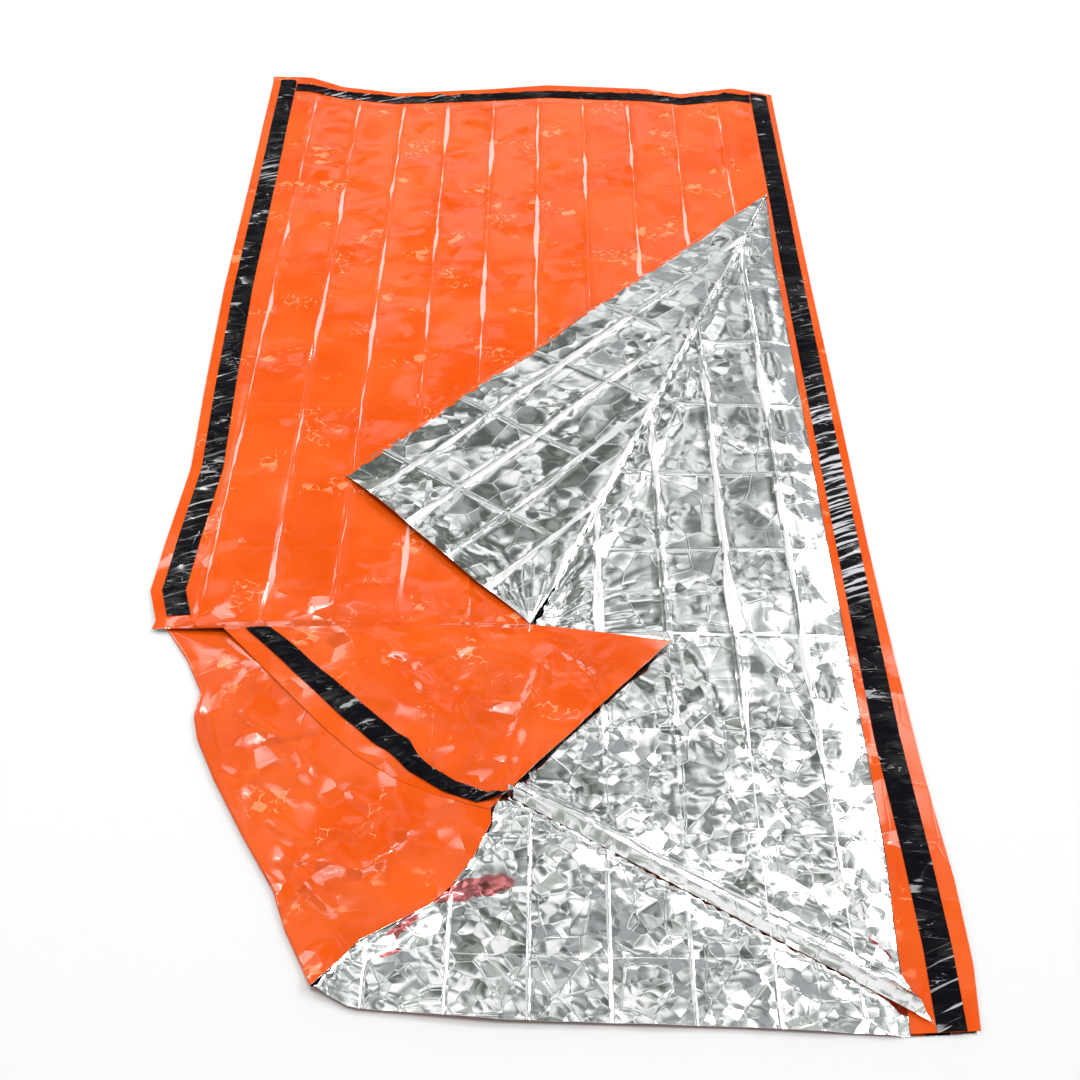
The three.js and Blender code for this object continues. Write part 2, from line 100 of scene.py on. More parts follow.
scene = bpy.context.scene
camera_data = bpy.data.cameras.new("camera")
camera_data.lens = LENS_MM
camera_data.sensor_width = SENSOR_MM
camera = bpy.data.objects.new("camera", camera_data)
camera.location = EYE
camera.rotation_euler = (math.radians(90 - PITCH_DOWN), 0, math.radians(TURN_LEFT))
scene.collection.objects.link(camera)
scene.camera = camera
scene.view_settings.view_transform = "Standard"
print("camera stands at", tuple(round(c, 3) for c in EYE))

# %% A small helper for node trees
class Tree:
    """Adds nodes to a tree and joins them. An input is a value, or an output socket to join."""

    def __init__(self, tree):
        self.tree = tree

    def add(self, kind, inputs=None, **settings):
        node = self.tree.nodes.new(kind)
        for name, value in settings.items():
            setattr(node, name, value)
        for key, value in (inputs or {}).items():
            self.put(node.inputs[key], value)
        return node

    def put(self, socket, value):
        if isinstance(value, bpy.types.NodeSocket):
            self.tree.links.new(value, socket)
        else:
            socket.default_value = value

    def math(self, operation, a, b=0.0, c=0.0):
        node = self.add("ShaderNodeMath", {0: a, 1: b, 2: c}, operation=operation)
        return node.outputs[0]

    def product(self, first, *others):
        for other in others:
            first = self.math("MULTIPLY", first, other)
        return first

    def vector(self, operation, a, b=(0, 0, 0), scale=None):
        node = self.add("ShaderNodeVectorMath", {0: a, 1: b}, operation=operation)
        if scale is not None:
            self.put(node.inputs["Scale"], scale)
        return node.outputs["Vector"]

    def length(self, value):
        node = self.add("ShaderNodeVectorMath", {0: value}, operation="LENGTH")
        return node.outputs["Value"]

    def parts(self, value):
        return self.add("ShaderNodeSeparateXYZ", {0: value}).outputs

    def spread(self, value, low, high, to_low=0.0, to_high=1.0):
        """Fades from one value to the other between low and high. `to_low` comes first."""
        inputs = {"Value": value, "From Min": low, "From Max": high}
        inputs.update({"To Min": to_low, "To Max": to_high})
        node = self.add("ShaderNodeMapRange", inputs, interpolation_type="SMOOTHSTEP")
        return node.outputs["Result"]

    def blend(self, share, a, b):
        node = self.add("ShaderNodeMix", {"Factor": share, 6: a, 7: b}, data_type="RGBA")
        return node.outputs[2]

    def noise(self, place_on, scale, detail):
        inputs = {"Vector": place_on, "Scale": scale, "Detail": detail}
        return self.add("ShaderNodeTexNoise", inputs).outputs

    def wavered(self, place_on, scale, detail, reach):
        """The same places, pushed about by noise so that straight lines on them waver."""
        waver = self.noise(place_on, scale, detail)["Color"]
        shift = self.vector("SUBTRACT", waver, (0.5, 0.5, 0.5))
        return self.vector("ADD", place_on, self.vector("SCALE", shift, scale=reach))

    def cells(self, place_on, feature="F1"):
        """A flat pattern of Voronoi cells, or the distance to their edges."""
        inputs = {"Vector": place_on, "Scale": 1.0}
        kind = "ShaderNodeTexVoronoi"
        return self.add(kind, inputs, voronoi_dimensions="2D", feature=feature)


print("a tree can", ", ".join(name for name in vars(Tree) if not name.startswith("_")))

# %% Colours of the room
ROOM_WHITE = (1.0, 1.0, 1.0, 1)
WALL_WHITE = (1.25, 1.25, 1.25, 1)  # windows in the wall that the bag's silver faces
CEILING_PALE = (0.80, 0.81, 0.80, 1)
ROOM_OLIVE = (0.330, 0.350, 0.315, 1)
ROOM_BLUISH = (0.325, 0.350, 0.360, 1)
ROOM_DARK = (0.05, 0.065, 0.055, 1)
BACKDROP = (0.90, 0.90, 0.90, 1)
ROOM_STRENGTH = 1.0
MARKS_SHARE = 0.32

FADES = {  # along an axis of the direction looked in, or of a noise
    "side of wall": (0.18, 0.34),
    "foot of wall": (0.30, 0.42),
    "below ceiling": (0.70, 0.80),
    "ceiling": (0.80, 0.92),
    "left to right": (-0.12, 0.12),
    "grey patch": (0.42, 0.56),
    "fine mark": (0.48, 0.62),
    "dark patch": (0.50, 0.63),
}
MORE_GREY_ON_WALL = 0.05
MORE_GREY_OVERHEAD = -0.06
print(len(FADES), "fades in the room")

# %% Room light
world = bpy.data.worlds.new("studio")
world.use_nodes = True
scene.world = world
world.node_tree.nodes.clear()
room = Tree(world.node_tree)
direction = room.add("ShaderNodeTexCoord").outputs["Generated"]
axes = room.parts(direction)
narrow = room.spread(room.math("ABSOLUTE", axes["X"]), *FADES["side of wall"], 1.0, 0.0)
above = room.spread(axes["Z"], *FADES["foot of wall"])
ahead = room.math("GREATER_THAN", axes["Y"], 0.0)
wall = room.product(narrow, above, ahead)
ceiling = room.spread(axes["Z"], *FADES["ceiling"])

overhead = room.spread(axes["Z"], *FADES["below ceiling"])
broad = room.noise(direction, scale=4.2, detail=1.5)["Fac"]
broad = room.math("MULTIPLY_ADD", overhead, MORE_GREY_OVERHEAD, broad)
broad = room.math("MULTIPLY_ADD", wall, MORE_GREY_ON_WALL, broad)
grey = room.spread(broad, *FADES["grey patch"])
pale = room.blend(ceiling, room.blend(wall, ROOM_WHITE, WALL_WHITE), CEILING_PALE)
tint = room.blend(room.spread(axes["X"], *FADES["left to right"]), ROOM_OLIVE, ROOM_BLUISH)
shade = room.blend(grey, pale, tint)

fine = room.noise(direction, scale=26.0, detail=2.0)["Fac"]
shade = room.blend(room.spread(fine, *FADES["fine mark"], 0.0, MARKS_SHARE), shade, tint)
dark = room.spread(room.noise(direction, scale=8.0, detail=1.0)["Fac"], *FADES["dark patch"])
dark = room.math("MULTIPLY", dark, room.math("MAXIMUM", wall, ceiling))
shade = room.blend(dark, shade, ROOM_DARK)
seen = room.add("ShaderNodeLightPath").outputs["Is Camera Ray"]  # the room itself is not shown
shade = room.blend(seen, shade, BACKDROP)
background = room.add("ShaderNodeBackground", {"Color": shade, "Strength": ROOM_STRENGTH})
world_out = room.add("ShaderNodeOutputWorld")
world.node_tree.links.new(background.outputs[0], world_out.inputs[0])
print("room light has", len(world.node_tree.nodes), "nodes")

# %% Lamps
SUNS = [
    {"name": "window", "from": (1.9, 0.9, 2.0), "strength": 0.6, "angle": 20},
    {"name": "ceiling", "from": (-0.3, 0.1, 2.2), "strength": 1.15, "angle": 30},
]
PANELS = [
    {"name": "tube_far_left", "at": (-2.0, 4.3, 0.9), "size": (0.16, 1.0), "watts": 34},
    {"name": "tube_far_right", "at": (2.0, 4.3, 1.0), "size": (0.16, 1.0), "watts": 30},
    {"name": "tube_left", "at": (-2.5, 1.8, 2.4), "size": (0.12, 1.2), "watts": 22},
    {"name": "tube_right", "at": (2.6, 1.9, 2.6), "size": (0.12, 1.2), "watts": 22},
    {"name": "tube_over", "at": (0.2, -0.6, 2.8), "size": (2.4, 0.10), "watts": 14},
    {"name": "softbox_left", "at": (-2.25, 2.3, 2.6), "size": (1.6, 1.2), "watts": 37},
    {"name": "softbox_right", "at": (2.05, 2.2, 2.9), "size": (1.6, 1.2), "watts": 37},
]


def hang_lamp(data, at):
    """Puts a lamp at a place and aims it at the middle of the bag."""
    light = bpy.data.objects.new(data.name, data)
    light.location = at
    light.rotation_euler = (-Vector(at)).to_track_quat("-Z", "Y").to_euler()
    scene.collection.objects.link(light)


for lamp in SUNS:
    data = bpy.data.lights.new(lamp["name"], "SUN")
    data.energy = lamp["strength"]
    data.angle = math.radians(lamp["angle"])
    hang_lamp(data, lamp["from"])
for lamp in PANELS:
    data = bpy.data.lights.new(lamp["name"], "AREA")
    data.shape = "RECTANGLE"
    data.size, data.size_y = lamp["size"]
    data.energy = lamp["watts"]
    hang_lamp(data, lamp["at"])
print("lamps:", ", ".join(lamp["name"] for lamp in SUNS + PANELS))

# %% Floor
FLOOR_HALF = 14.0
floor_mesh = bpy.data.meshes.new("floor")
corners = [(-FLOOR_HALF, -FLOOR_HALF, 0), (FLOOR_HALF, -FLOOR_HALF, 0)]
corners += [(FLOOR_HALF, FLOOR_HALF, 0), (-FLOOR_HALF, FLOOR_HALF, 0)]
floor_mesh.from_pydata(corners, [], [(0, 1, 2, 3)])
floor = bpy.data.objects.new("floor", floor_mesh)
scene.collection.objects.link(floor)
print("the floor is", 2 * FLOOR_HALF, "m square")

# %% [markdown]
# ## The pattern
#
# A maker cuts a rectangle, but this one has lain about: its sides wander a few millimetres and the
# foot is wavy. Short tables give those lines, one row for each change of direction, and everything
# between the rows is read off them.

# %% Lines of the pattern, in millimetres
PANEL = 83.0  # spacing of the lengthwise packing creases
PLEAT = 82.5  # spacing of the crosswise ones
SEAM_MARGIN = 15.0
TAPE_WIDTH = 30.0

SIDES = {
    "y": (-20, 79, 189, 284, 358, 533, 600, 660, 760, 920, 1120, 1400, 1800, 2200),
    "left": (-452, -456, -438, -425, -432, -444, -434, -451, -448, -440, -450, -461, -467, -475),
    "right": (476, 485, 485, 480, 477, 473, 472, 471, 470, 470, 470, 469, 470, 472),
}
RIGHT_TAPE = {
    "y": (-20, 100, 222, 400, 1500, 1709, 2200),
    "inner": (434, 437, 435, 429, 428, 430, 432),
    "strip": (26, 26, 18, 11, 9, 4, 6),
}
FOOT = {
    "x": (-480, -400, -335, -228, -60, 51, 235, 300, 397, 480),
    "y": (2168, 2160, 2128, 2106, 2120, 2134, 2120, 2104, 2124, 2098),
    "curl": (7, 9, 4, 2, 4, 6, 5, 2, 5, 2),
}
FOOT_MEAN = 2120.0
MOUTH = {
    "x": (-460, -183, -143, 6, 242, 401, 485),
    "y": (79, 46, 22, 8, 1, -8, -3),
}
OVER_FOLD = {  # the fold that the back sheet's left side is turned over
    "y": (30, 46, 76, 120, 174, 251, 333, 396, 434, 474, 532, 586, 606),
    "x": (-176, -183, -196, -217, -236, -279, -321, -349, -359, -357, -383, -416, -434),
}
OVER_END = 598.0
CORNER_SEAM = {  # from the pleat, v = 0, to the mouth
    "v": (0, 0.12, 0.30, 0.50, 0.65, 0.80, 0.90, 1),
    "x": (-350, -318, -270, -212, -168, -120, -70, -12),
    "y": (585, 546, 487, 416, 368, 330, 304, 284),
}
MOUTH_TAPE = {
    "v": (0, 0.70, 0.76, 0.90, 1),
    "margin": (26, 26, 22, 8, 3),
    "width": (30, 30, 23, 20, 18),
}
OVER_MOUTH = {  # the mouth edge of that left side, from its fold, w = 0
    "w": (0, 0.22, 0.37, 0.48, 0.58, 0.73, 0.90, 1),
    "x": (-183, -140, -100, -70, -50, -28, -9, -11),
    "y": (46, 104, 130, 150, 174, 213, 266, 296),
}


def read(table, key, at, name):
    return np.interp(at, table[key], table[name])


def left_side(y):
    return read(SIDES, "y", y, "left")


def right_side(y):
    return read(SIDES, "y", y, "right")


def tape_inner(y):
    return read(RIGHT_TAPE, "y", y, "inner")


def strip_inner(y):
    return tape_inner(y) - read(RIGHT_TAPE, "y", y, "strip")


pattern_width = right_side(FOOT_MEAN / 2) - left_side(FOOT_MEAN / 2)
print("the pattern is about", round(pattern_width), "by", round(FOOT_MEAN), "mm")

# %% Places where it is folded
FLAP_TOP = np.array((426.0, 1709.0))
FLAP_FOOT = np.array((30.0, 585.0))
FLAP_CORNER_Y = 670.0
WEB_END_X = -350.0
MOUTH_CORNER = np.array((-12.0, 284.0))
POINT = np.array((202.0, 558.0))
UNDER_CORNER = np.array((8.0, 306.0))
MOUTH_RIGHT = np.array((430.0, 6.0))


def mix(a, b, t):
    return a + (b - a) * t


def ease(t):
    c = np.clip(t, 0, 1)
    return c * c * (3 - 2 * c)


def direction_of(a, b):
    return (b - a) / np.linalg.norm(b - a)


def mirror(x, y, a, b):
    """Mirror image of drawing points in the line from a to b."""
    along = direction_of(a, b)
    dx, dy = x - a[0], y - a[1]
    reach = dx * along[0] + dy * along[1]
    return a[0] + 2 * reach * along[0] - dx, a[1] + 2 * reach * along[1] - dy


def side_of(x, y, a, b):
    """Signed distance of points from the line a-b, positive on its left."""
    along = direction_of(a, b)
    return along[0] * (y - a[1]) - along[1] * (x - a[0])


print("the flap's fold is", round(float(np.linalg.norm(FLAP_TOP - FLAP_FOOT))), "mm long")

# %% [markdown]
# ## Creases and crumples
#
# A bag like this comes packed in a small brick, so it keeps a grid of straight creases. Each corner
# of that grid settles at its own height, and the panel between four corners stays nearly flat,
# which is why one panel mirrors a lamp while its neighbour is dark. Between the creases the film is
# crumpled into flat facets with sharp edges. Smooth noise never looks like that, so the facets are
# read from a scattered net of triangles with a random height at each corner.

# %% The packing grid
GRID_SEED = 7
MIDDLE_PANEL = 4.6  # panels from the first crease inside the pattern to its middle
CREASE_X = (np.arange(-1, 12) - MIDDLE_PANEL) * PANEL
CREASE_Y = np.arange(-1, 29) * PLEAT
GRID_HEIGHTS = np.random.default_rng(GRID_SEED).uniform(-1, 1, (len(CREASE_X), len(CREASE_Y)))
SHARP_TO = 330.0  # from the mouth, up to where the creases are as sharp as packed
OPEN_FROM = 480.0
RIDGE_WIDTHS = (1.4, 5.2)  # sharp and opened out
RIDGE_HEIGHTS = (0.3, 1)


def grid_height(x, y):
    """Height from -1 to 1 of the creased panels: straight between the grid's own corners."""
    u = np.clip((x - CREASE_X[0]) / PANEL, 0, len(CREASE_X) - 1.001)
    v = np.clip((y - CREASE_Y[0]) / PLEAT, 0, len(CREASE_Y) - 1.001)
    i, j = u.astype(int), v.astype(int)
    s, t = u - i, v - j
    low = mix(GRID_HEIGHTS[i, j], GRID_HEIGHTS[i + 1, j], s)
    high = mix(GRID_HEIGHTS[i, j + 1], GRID_HEIGHTS[i + 1, j + 1], s)
    return mix(low, high, t)


def opened_out(y):
    """0 near the mouth, where the creases are still sharp, 1 where they have opened out."""
    return ease((y - SHARP_TO) / (OPEN_FROM - SHARP_TO))


def crease_ridge(x, y, crosswise):
    """Sharp little ridges along the packing creases, from 0 to 1."""
    width = mix(*RIDGE_WIDTHS, opened_out(y))
    across = np.abs((x - CREASE_X[0] + PANEL / 2) % PANEL - PANEL / 2)
    along = np.abs((y - CREASE_Y[0] + PLEAT) % (2 * PLEAT) - PLEAT)
    lengthwise = np.clip(1 - across / width, 0, 1)
    ridge = np.maximum(lengthwise, crosswise * np.clip(1 - along / width, 0, 1))
    return ridge * mix(*RIDGE_HEIGHTS, opened_out(y))


print("packing grid of", GRID_HEIGHTS.size, "corners")

# %% Facets of crumpled film
NET_X = (-620, 640)
NET_Y = (-120, 2320)
NET_SCATTER = 0.48  # of the spacing
ABOVE_NET = 5.0


class Facets:
    """A random net of triangles over the drawing, and the height of its flat faces."""

    def __init__(self, size, seed):
        own = np.random.default_rng(seed)
        grid = np.stack(np.meshgrid(np.arange(*NET_X, size), np.arange(*NET_Y, size)), -1)
        grid = grid.reshape(-1, 2)
        spots = grid + own.uniform(-NET_SCATTER, NET_SCATTER, grid.shape) * size
        flat = delaunay_2d_cdt([Vector(p) for p in spots], [], [], 0, 0.001)
        heights = own.uniform(-1, 1, len(flat[0]))
        net = [Vector((p.x, p.y, h)) for p, h in zip(flat[0], heights)]
        self.tree = BVHTree.FromPolygons(net, flat[2])
        print("net of", len(net), "corners,", size, "mm apart")

    def __call__(self, x, y):
        down = Vector((0, 0, -1))
        points = zip(np.ravel(x), np.ravel(y))
        hits = [self.tree.ray_cast(Vector((a, b, ABOVE_NET)), down)[0] for a, b in points]
        return np.array([0.0 if h is None else h.z for h in hits]).reshape(np.shape(x))


large_facets = Facets(58, 3)
small_facets = Facets(23, 4)


# %% Folds, and the four scales together
def pull_fold(x, y, path, half_width):
    """A long soft ridge along a path of points, from 0 beside it to 1 on its crest."""
    near = np.full(np.shape(x), np.inf)
    for (ax, ay), (bx, by) in zip(path[:-1], path[1:]):
        share = (x - ax) * (bx - ax) + (y - ay) * (by - ay)
        share = np.clip(share / ((bx - ax) ** 2 + (by - ay) ** 2), 0, 1)
        near = np.minimum(near, np.hypot(x - mix(ax, bx, share), y - mix(ay, by, share)))
    return np.clip(1 - near / half_width, 0, 1)


def crumple(x, y, panel, large, small, ridge, crosswise=0.7):
    """Height in millimetres from the four scales of folding, each with its own amplitude."""
    height = panel * grid_height(x, y) + ridge * crease_ridge(x, y, crosswise)
    return height + large * large_facets(x, y) + small * small_facets(x, y)


sample = crumple(*np.meshgrid(np.arange(-400.0, 400, 40), np.arange(0.0, 2000, 40)), 1, 1, 1, 1)
print("all four at 1 mm reach from", round(sample.min(), 1), "to", round(sample.max(), 1), "mm")

# %% [markdown]
# ## From rows of points to a sheet
#
# Each patch of a sheet is a block of rows. Patches that meet share their edge points, so welding by
# position turns them into one sheet. The film is then given a thickness: the top side keeps one
# finish and the underside takes the other, which is how a real two-faced film behaves however often
# it is folded.

# %% Sheet maker
FILM = 0.5  # thickness, with the air in its crumples
WELD_STEPS = 50  # to a millimetre: points closer than one step are the same point
SMOOTH_UP_TO = 62.0  # degrees between two faces
BEND_STEPS = 7


class Sheet:
    """Blocks of points that are welded into one sheet of film."""

    def __init__(self):
        self.points = []
        self.coords = []
        self.faces = []
        self.count = 0

    def patch(self, x, y, z, u, v):
        """Adds a block of points with their places u, v on the flat pattern."""
        rows, columns = x.shape
        ids = np.arange(rows * columns).reshape(rows, columns) + self.count
        quads = np.stack([ids[:-1, :-1], ids[:-1, 1:], ids[1:, 1:], ids[1:, :-1]], -1)
        self.faces.append(quads.reshape(-1, 4))
        self.points.append(np.stack([x, y, z], -1).reshape(-1, 3))
        self.coords.append(np.stack([u, v], -1).reshape(-1, 2))
        self.count += rows * columns

    def welded(self):
        points = np.concatenate(self.points)
        coords = np.concatenate(self.coords)
        keys = np.round(points * WELD_STEPS).astype(np.int64)
        _, first, inverse = np.unique(keys, axis=0, return_index=True, return_inverse=True)
        quads = inverse.reshape(-1)[np.concatenate(self.faces)]
        return points[first], coords[first], quads

    def build(self, name, faces_up, faces_down):
        """The closed mesh: material 0 on the upper face and rim, 1 on the under face."""
        points, coords, quads = self.welded()
        polygons = [list(dict.fromkeys(q)) for q in quads.tolist()]
        polygons = [p for p in polygons if len(p) > 2]
        mesh = bpy.data.meshes.new(name)
        mesh.from_pydata([place(*p) for p in points], [], polygons)
        layer = mesh.uv_layers.new(name="pattern")
        loop_vertex = np.zeros(len(mesh.loops), int)
        mesh.loops.foreach_get("vertex_index", loop_vertex)
        layer.data.foreach_set("uv", (coords[loop_vertex] * MM).ravel())
        mesh.polygons.foreach_set("use_smooth", np.ones(len(mesh.polygons), bool))
        mesh.materials.append(faces_up)
        mesh.materials.append(faces_down)
        piece = bpy.data.objects.new(name, mesh)
        scene.collection.objects.link(piece)
        thick = piece.modifiers.new("film", "SOLIDIFY")
        thick.thickness = FILM * MM
        thick.offset = 0
        thick.material_offset = 1
        thick.material_offset_rim = 0
        depsgraph = bpy.context.evaluated_depsgraph_get()
        solid = bpy.data.meshes.new_from_object(piece.evaluated_get(depsgraph))
        piece.modifiers.clear()
        piece.data = solid
        solid.name = name
        solid.set_sharp_from_angle(angle=math.radians(SMOOTH_UP_TO))
        print(name, "has", len(solid.polygons), "faces")
        return piece


def bend(x, y, z, out, radius, rise):
    """Columns of a half-round fold that starts at x, y, z and turns towards `out` and back."""
    angle = np.linspace(0, math.pi, BEND_STEPS + 1)[None, :]
    reach = radius[:, None] * np.sin(angle)
    height = rise * radius[:, None] * (1 - np.cos(angle))
    return x[:, None] + out[0] * reach, y[:, None] + out[1] * reach, z[:, None] + height


def side_by_side(left, right):
    """Joins two blocks along their rows. Each block is its x, y and z."""
    return tuple(np.hstack(pair) for pair in zip(left, right))


def one_after_other(first, second):
    """Joins two blocks along their columns."""
    return tuple(np.vstack(pair) for pair in zip(first, second))


def repeat_rows(values, columns):
    """One value for each row, repeated over the columns."""
    return np.repeat(values[:, None], columns, 1)


print("film is", FILM, "mm thick")

# %% [markdown]
# ## Columns and rows
#
# A crease only stays sharp where the mesh has an edge on it. So the columns run along the packing
# creases, with one column on each crease and two close to either side of it. The outer of the two
# stops the crease's shading from running out over the wide cell beside it. The rows do the same for
# the crosswise creases.

# %% Steps between creases
CELLS = 9  # between two creases
CREASE_HALF = 4.5
NARROW_HALF = 1.3  # near the mouth the creases are still sharp
CREASE_REST = 1.6  # width of the narrow cell beside each crease

INNER_CREASES = CREASE_X[1:-1]


def between(a, b, cells):
    return np.linspace(a, b, cells, endpoint=False)


def crease_steps(lines, half=CREASE_HALF):
    """Values from the first line to the last, fine next to each of them."""
    steps = []
    for a, b in zip(lines[:-1], lines[1:]):
        low, high = a + half + CREASE_REST, b - half - CREASE_REST
        steps += [a, a + half, *between(low, high, CELLS - 2), high, b - half]
    return np.array([*steps, lines[-1]])


WIDE_X = crease_steps(INNER_CREASES)
NARROW_X = crease_steps(INNER_CREASES, NARROW_HALF)
print(len(WIDE_X), "creased columns")

# %% Columns from seam to seam
MARGIN_CELLS = 2  # outside the tape
TAPE_CELLS = 4
BESIDE_CELLS = 3  # from the tape to the first crease
TAIL_COLUMNS = 8  # from the last crease to the right
TAPED = slice(MARGIN_CELLS, MARGIN_CELLS + TAPE_CELLS + 1)


def body_columns(y, right):
    """One row of x for each y: the left seam, the creased middle, and on to `right`."""
    rows = []
    for left, end, at in zip(left_side(y), right, y):
        creased = mix(NARROW_X, WIDE_X, opened_out(at))
        taped = left + SEAM_MARGIN
        seam = [*between(left, taped, MARGIN_CELLS)]
        seam += list(between(taped, taped + TAPE_WIDTH, TAPE_CELLS))
        seam += list(between(taped + TAPE_WIDTH, creased[0], BESIDE_CELLS))
        tail = np.linspace(creased[-1] + CREASE_HALF, end, TAIL_COLUMNS)
        rows.append([*seam, *creased, *tail])
    return np.array(rows)


print("a row has", body_columns(np.array([0.0]), np.array([400.0])).shape[1], "columns")

# %% Rows from mouth to foot
FOOT_BENDS_FROM = 1960.0
MOUTH_BENDS_TO = 2 * PLEAT
FIRST_FIELD_CREASE = 620.0
FOOT_Y = np.array((2080.0, 2090, 2098, 2105, 2112, FOOT_MEAN))
FOOT_GAP = 8.0


def follow_foot(x, y):
    """Bends the last rows of the pattern to the wavy foot."""
    share = ease((y - FOOT_BENDS_FROM) / (FOOT_MEAN - FOOT_BENDS_FROM))
    return y + share * (read(FOOT, "x", x, "y") - FOOT_MEAN)


def follow_mouth(x, y):
    """Bends the first rows of the back sheet to its mouth edge."""
    return y + np.clip(1 - y / MOUTH_BENDS_TO, 0, 1) * read(MOUTH, "x", x, "y")


def creases_in(low, high):
    return CREASE_Y[(CREASE_Y >= low) & (CREASE_Y < high)]


def on_to_foot(rows):
    """The rows, with the close rows of the foot in place of the last few."""
    return np.concatenate([rows[rows < FOOT_Y[0] - FOOT_GAP], FOOT_Y])


FIELD_Y = crease_steps(np.array([FLAP_FOOT[1], *creases_in(FIRST_FIELD_CREASE, FOOT_Y[0])]))
FIELD_Y = on_to_foot(np.sort(np.append(FIELD_Y, [FLAP_TOP[1], FLAP_CORNER_Y])))
BACK_Y = on_to_foot(crease_steps(creases_in(0, FOOT_Y[0])))
print(len(FIELD_Y), "rows in the front sheet,", len(BACK_Y), "in the back sheet")

# %% [markdown]
# ## Heights of the layers
#
# The sheets lie on each other, so each layer has its own level, and where one is covered by the
# next its creases are pressed flat. The near-left corner is on top of everything.

# %% Levels, in millimetres
BACK_LEVEL = 0.6
SEAM_LEVEL = 2.4
FRONT_LEVEL = 3.4
CORNER_LEVEL = 14.0
CORNER_SLOPE = 2.5  # down from the pleat to the mouth
UNDER_LEVEL = 7.0
OVER_EDGE_LEVEL = 7.2
FLAP_RISE = 4.5
FLAP_RADIUS = 3.6
OVER_RADIUS = 2.6
TIP_RADIUS = 0.8
ROLL_HEIGHT = 9.0
PLEAT_RISE_OVER = 1.3 * PLEAT  # how far before the pleat the field starts to rise to it
SEAM_BELOW_PLEAT = 9.5
SEAM_HELD_OVER = 130.0
SEAM_FLAT_TO = 30.0  # in from the edge
SEAM_RISES_OVER = 50.0
FLAP_EDGE_SOFT = 24.0
print("layers from", BACK_LEVEL, "to", CORNER_LEVEL, "mm")


# %% Where the flap and the seams are
def fold_x(y):
    """The fold line of the flap, and above it the inner edge of the strip at the seam."""
    share = (y - FLAP_FOOT[1]) / (FLAP_TOP[1] - FLAP_FOOT[1])
    line = FLAP_FOOT[0] + share * (FLAP_TOP[0] - FLAP_FOOT[0])
    return np.where(y >= FLAP_TOP[1], strip_inner(y), line)


def flap_limit(y):
    """How far the flap reaches on the pattern: a slanting mouth edge, then its long edge."""
    share = np.clip((y - FLAP_FOOT[1]) / (FLAP_CORNER_Y - FLAP_FOOT[1]), 0, 1)
    line = mix(FLAP_FOOT[0], strip_inner(FLAP_TOP[1]), share)
    return np.where(y >= FLAP_TOP[1], strip_inner(y), line)


def seam_distance(x, y):
    """How far a point lies in from the nearer side or the foot."""
    sides = np.minimum(x - left_side(y), right_side(y) - x)
    return np.minimum(sides, read(FOOT, "x", x, "y") - y)


def field_level(x, y):
    """Level of the front sheet: low at the seams, and up to the corner's level at the pleat."""
    near = 1 - ease((y - FLAP_FOOT[1]) / PLEAT_RISE_OVER)
    in_from_seam = ease((x - left_side(y)) / SEAM_HELD_OVER)
    top = mix(CORNER_LEVEL - SEAM_BELOW_PLEAT, CORNER_LEVEL, in_from_seam)
    inside = ease((seam_distance(x, y) - SEAM_FLAT_TO) / SEAM_RISES_OVER)
    flat = mix(SEAM_LEVEL, FRONT_LEVEL, inside)
    return mix(flat, top, near)


FLAP_CORNER = np.array(mirror(strip_inner(FLAP_TOP[1]), FLAP_CORNER_Y, FLAP_FOOT, FLAP_TOP))


def under_flap(x, y):
    """1 where the flap lies on top, 0 away from it."""
    inside = side_of(x, y, FLAP_FOOT, FLAP_TOP)
    inside = np.minimum(inside, side_of(x, y, FLAP_TOP, FLAP_CORNER))
    inside = np.minimum(inside, side_of(x, y, FLAP_CORNER, FLAP_FOOT))
    return ease((inside + FLAP_EDGE_SOFT / 2) / FLAP_EDGE_SOFT)


print("the flap's free corner is at", [round(float(c)) for c in FLAP_CORNER])

# %% [markdown]
# ## The front sheet
#
# One sheet makes the orange field, the flap, the pulled-round corner and the part turned under it.
# A cloth simulation could fold it, but it would not stop where the real one did. So every point
# past a fold line keeps its place on the pattern and is mirrored in the line, and a half-round
# strip joins the two halves. Because the creases belong to the pattern, they turn with it and cross
# the flap at the right slant by themselves.

# %% The field
FIELD_CREASE = {"panel": 0.6, "large": 1.2, "small": 0.35, "ridge": 1.8, "crosswise": 0.0}
FIELD_LIFT = 1.6
PRESSED_UNDER_FLAP = 0.85
CURL_WIDTH = 18.0  # of the edge at the foot
SEAM_TIGHT_TO = 20.0  # in from the edge the tape holds the film flat
SEAM_LOOSENS_OVER = 60.0


def foot_curl(x, y):
    """Height of the edge that curls up at the foot, more in some places than in others."""
    edge = ease((y - (read(FOOT, "x", x, "y") - CURL_WIDTH)) / CURL_WIDTH)
    return edge * read(FOOT, "x", x, "curl")


def field_height(x, y):
    free = ease((seam_distance(x, y) - SEAM_TIGHT_TO) / SEAM_LOOSENS_OVER)
    loose = free * (1 - PRESSED_UNDER_FLAP * under_flap(x, y))
    bumps = crumple(x, y, **FIELD_CREASE) + FIELD_LIFT
    return field_level(x, y) + np.maximum(bumps, 0) * loose + foot_curl(x, y)


def front_field(sheet):
    """From the left seam to the flap's fold, or to the strip above it."""
    x = body_columns(FIELD_Y, strip_inner(FIELD_Y))
    x = np.minimum(x, fold_x(FIELD_Y)[:, None])
    v = repeat_rows(FIELD_Y, x.shape[1])
    y = follow_foot(x, v)
    z = field_height(x, y)
    sheet.patch(x, y, z, x, v)
    return x, y, z


print("the foot curls up by", min(FOOT["curl"]), "to", max(FOOT["curl"]), "mm")

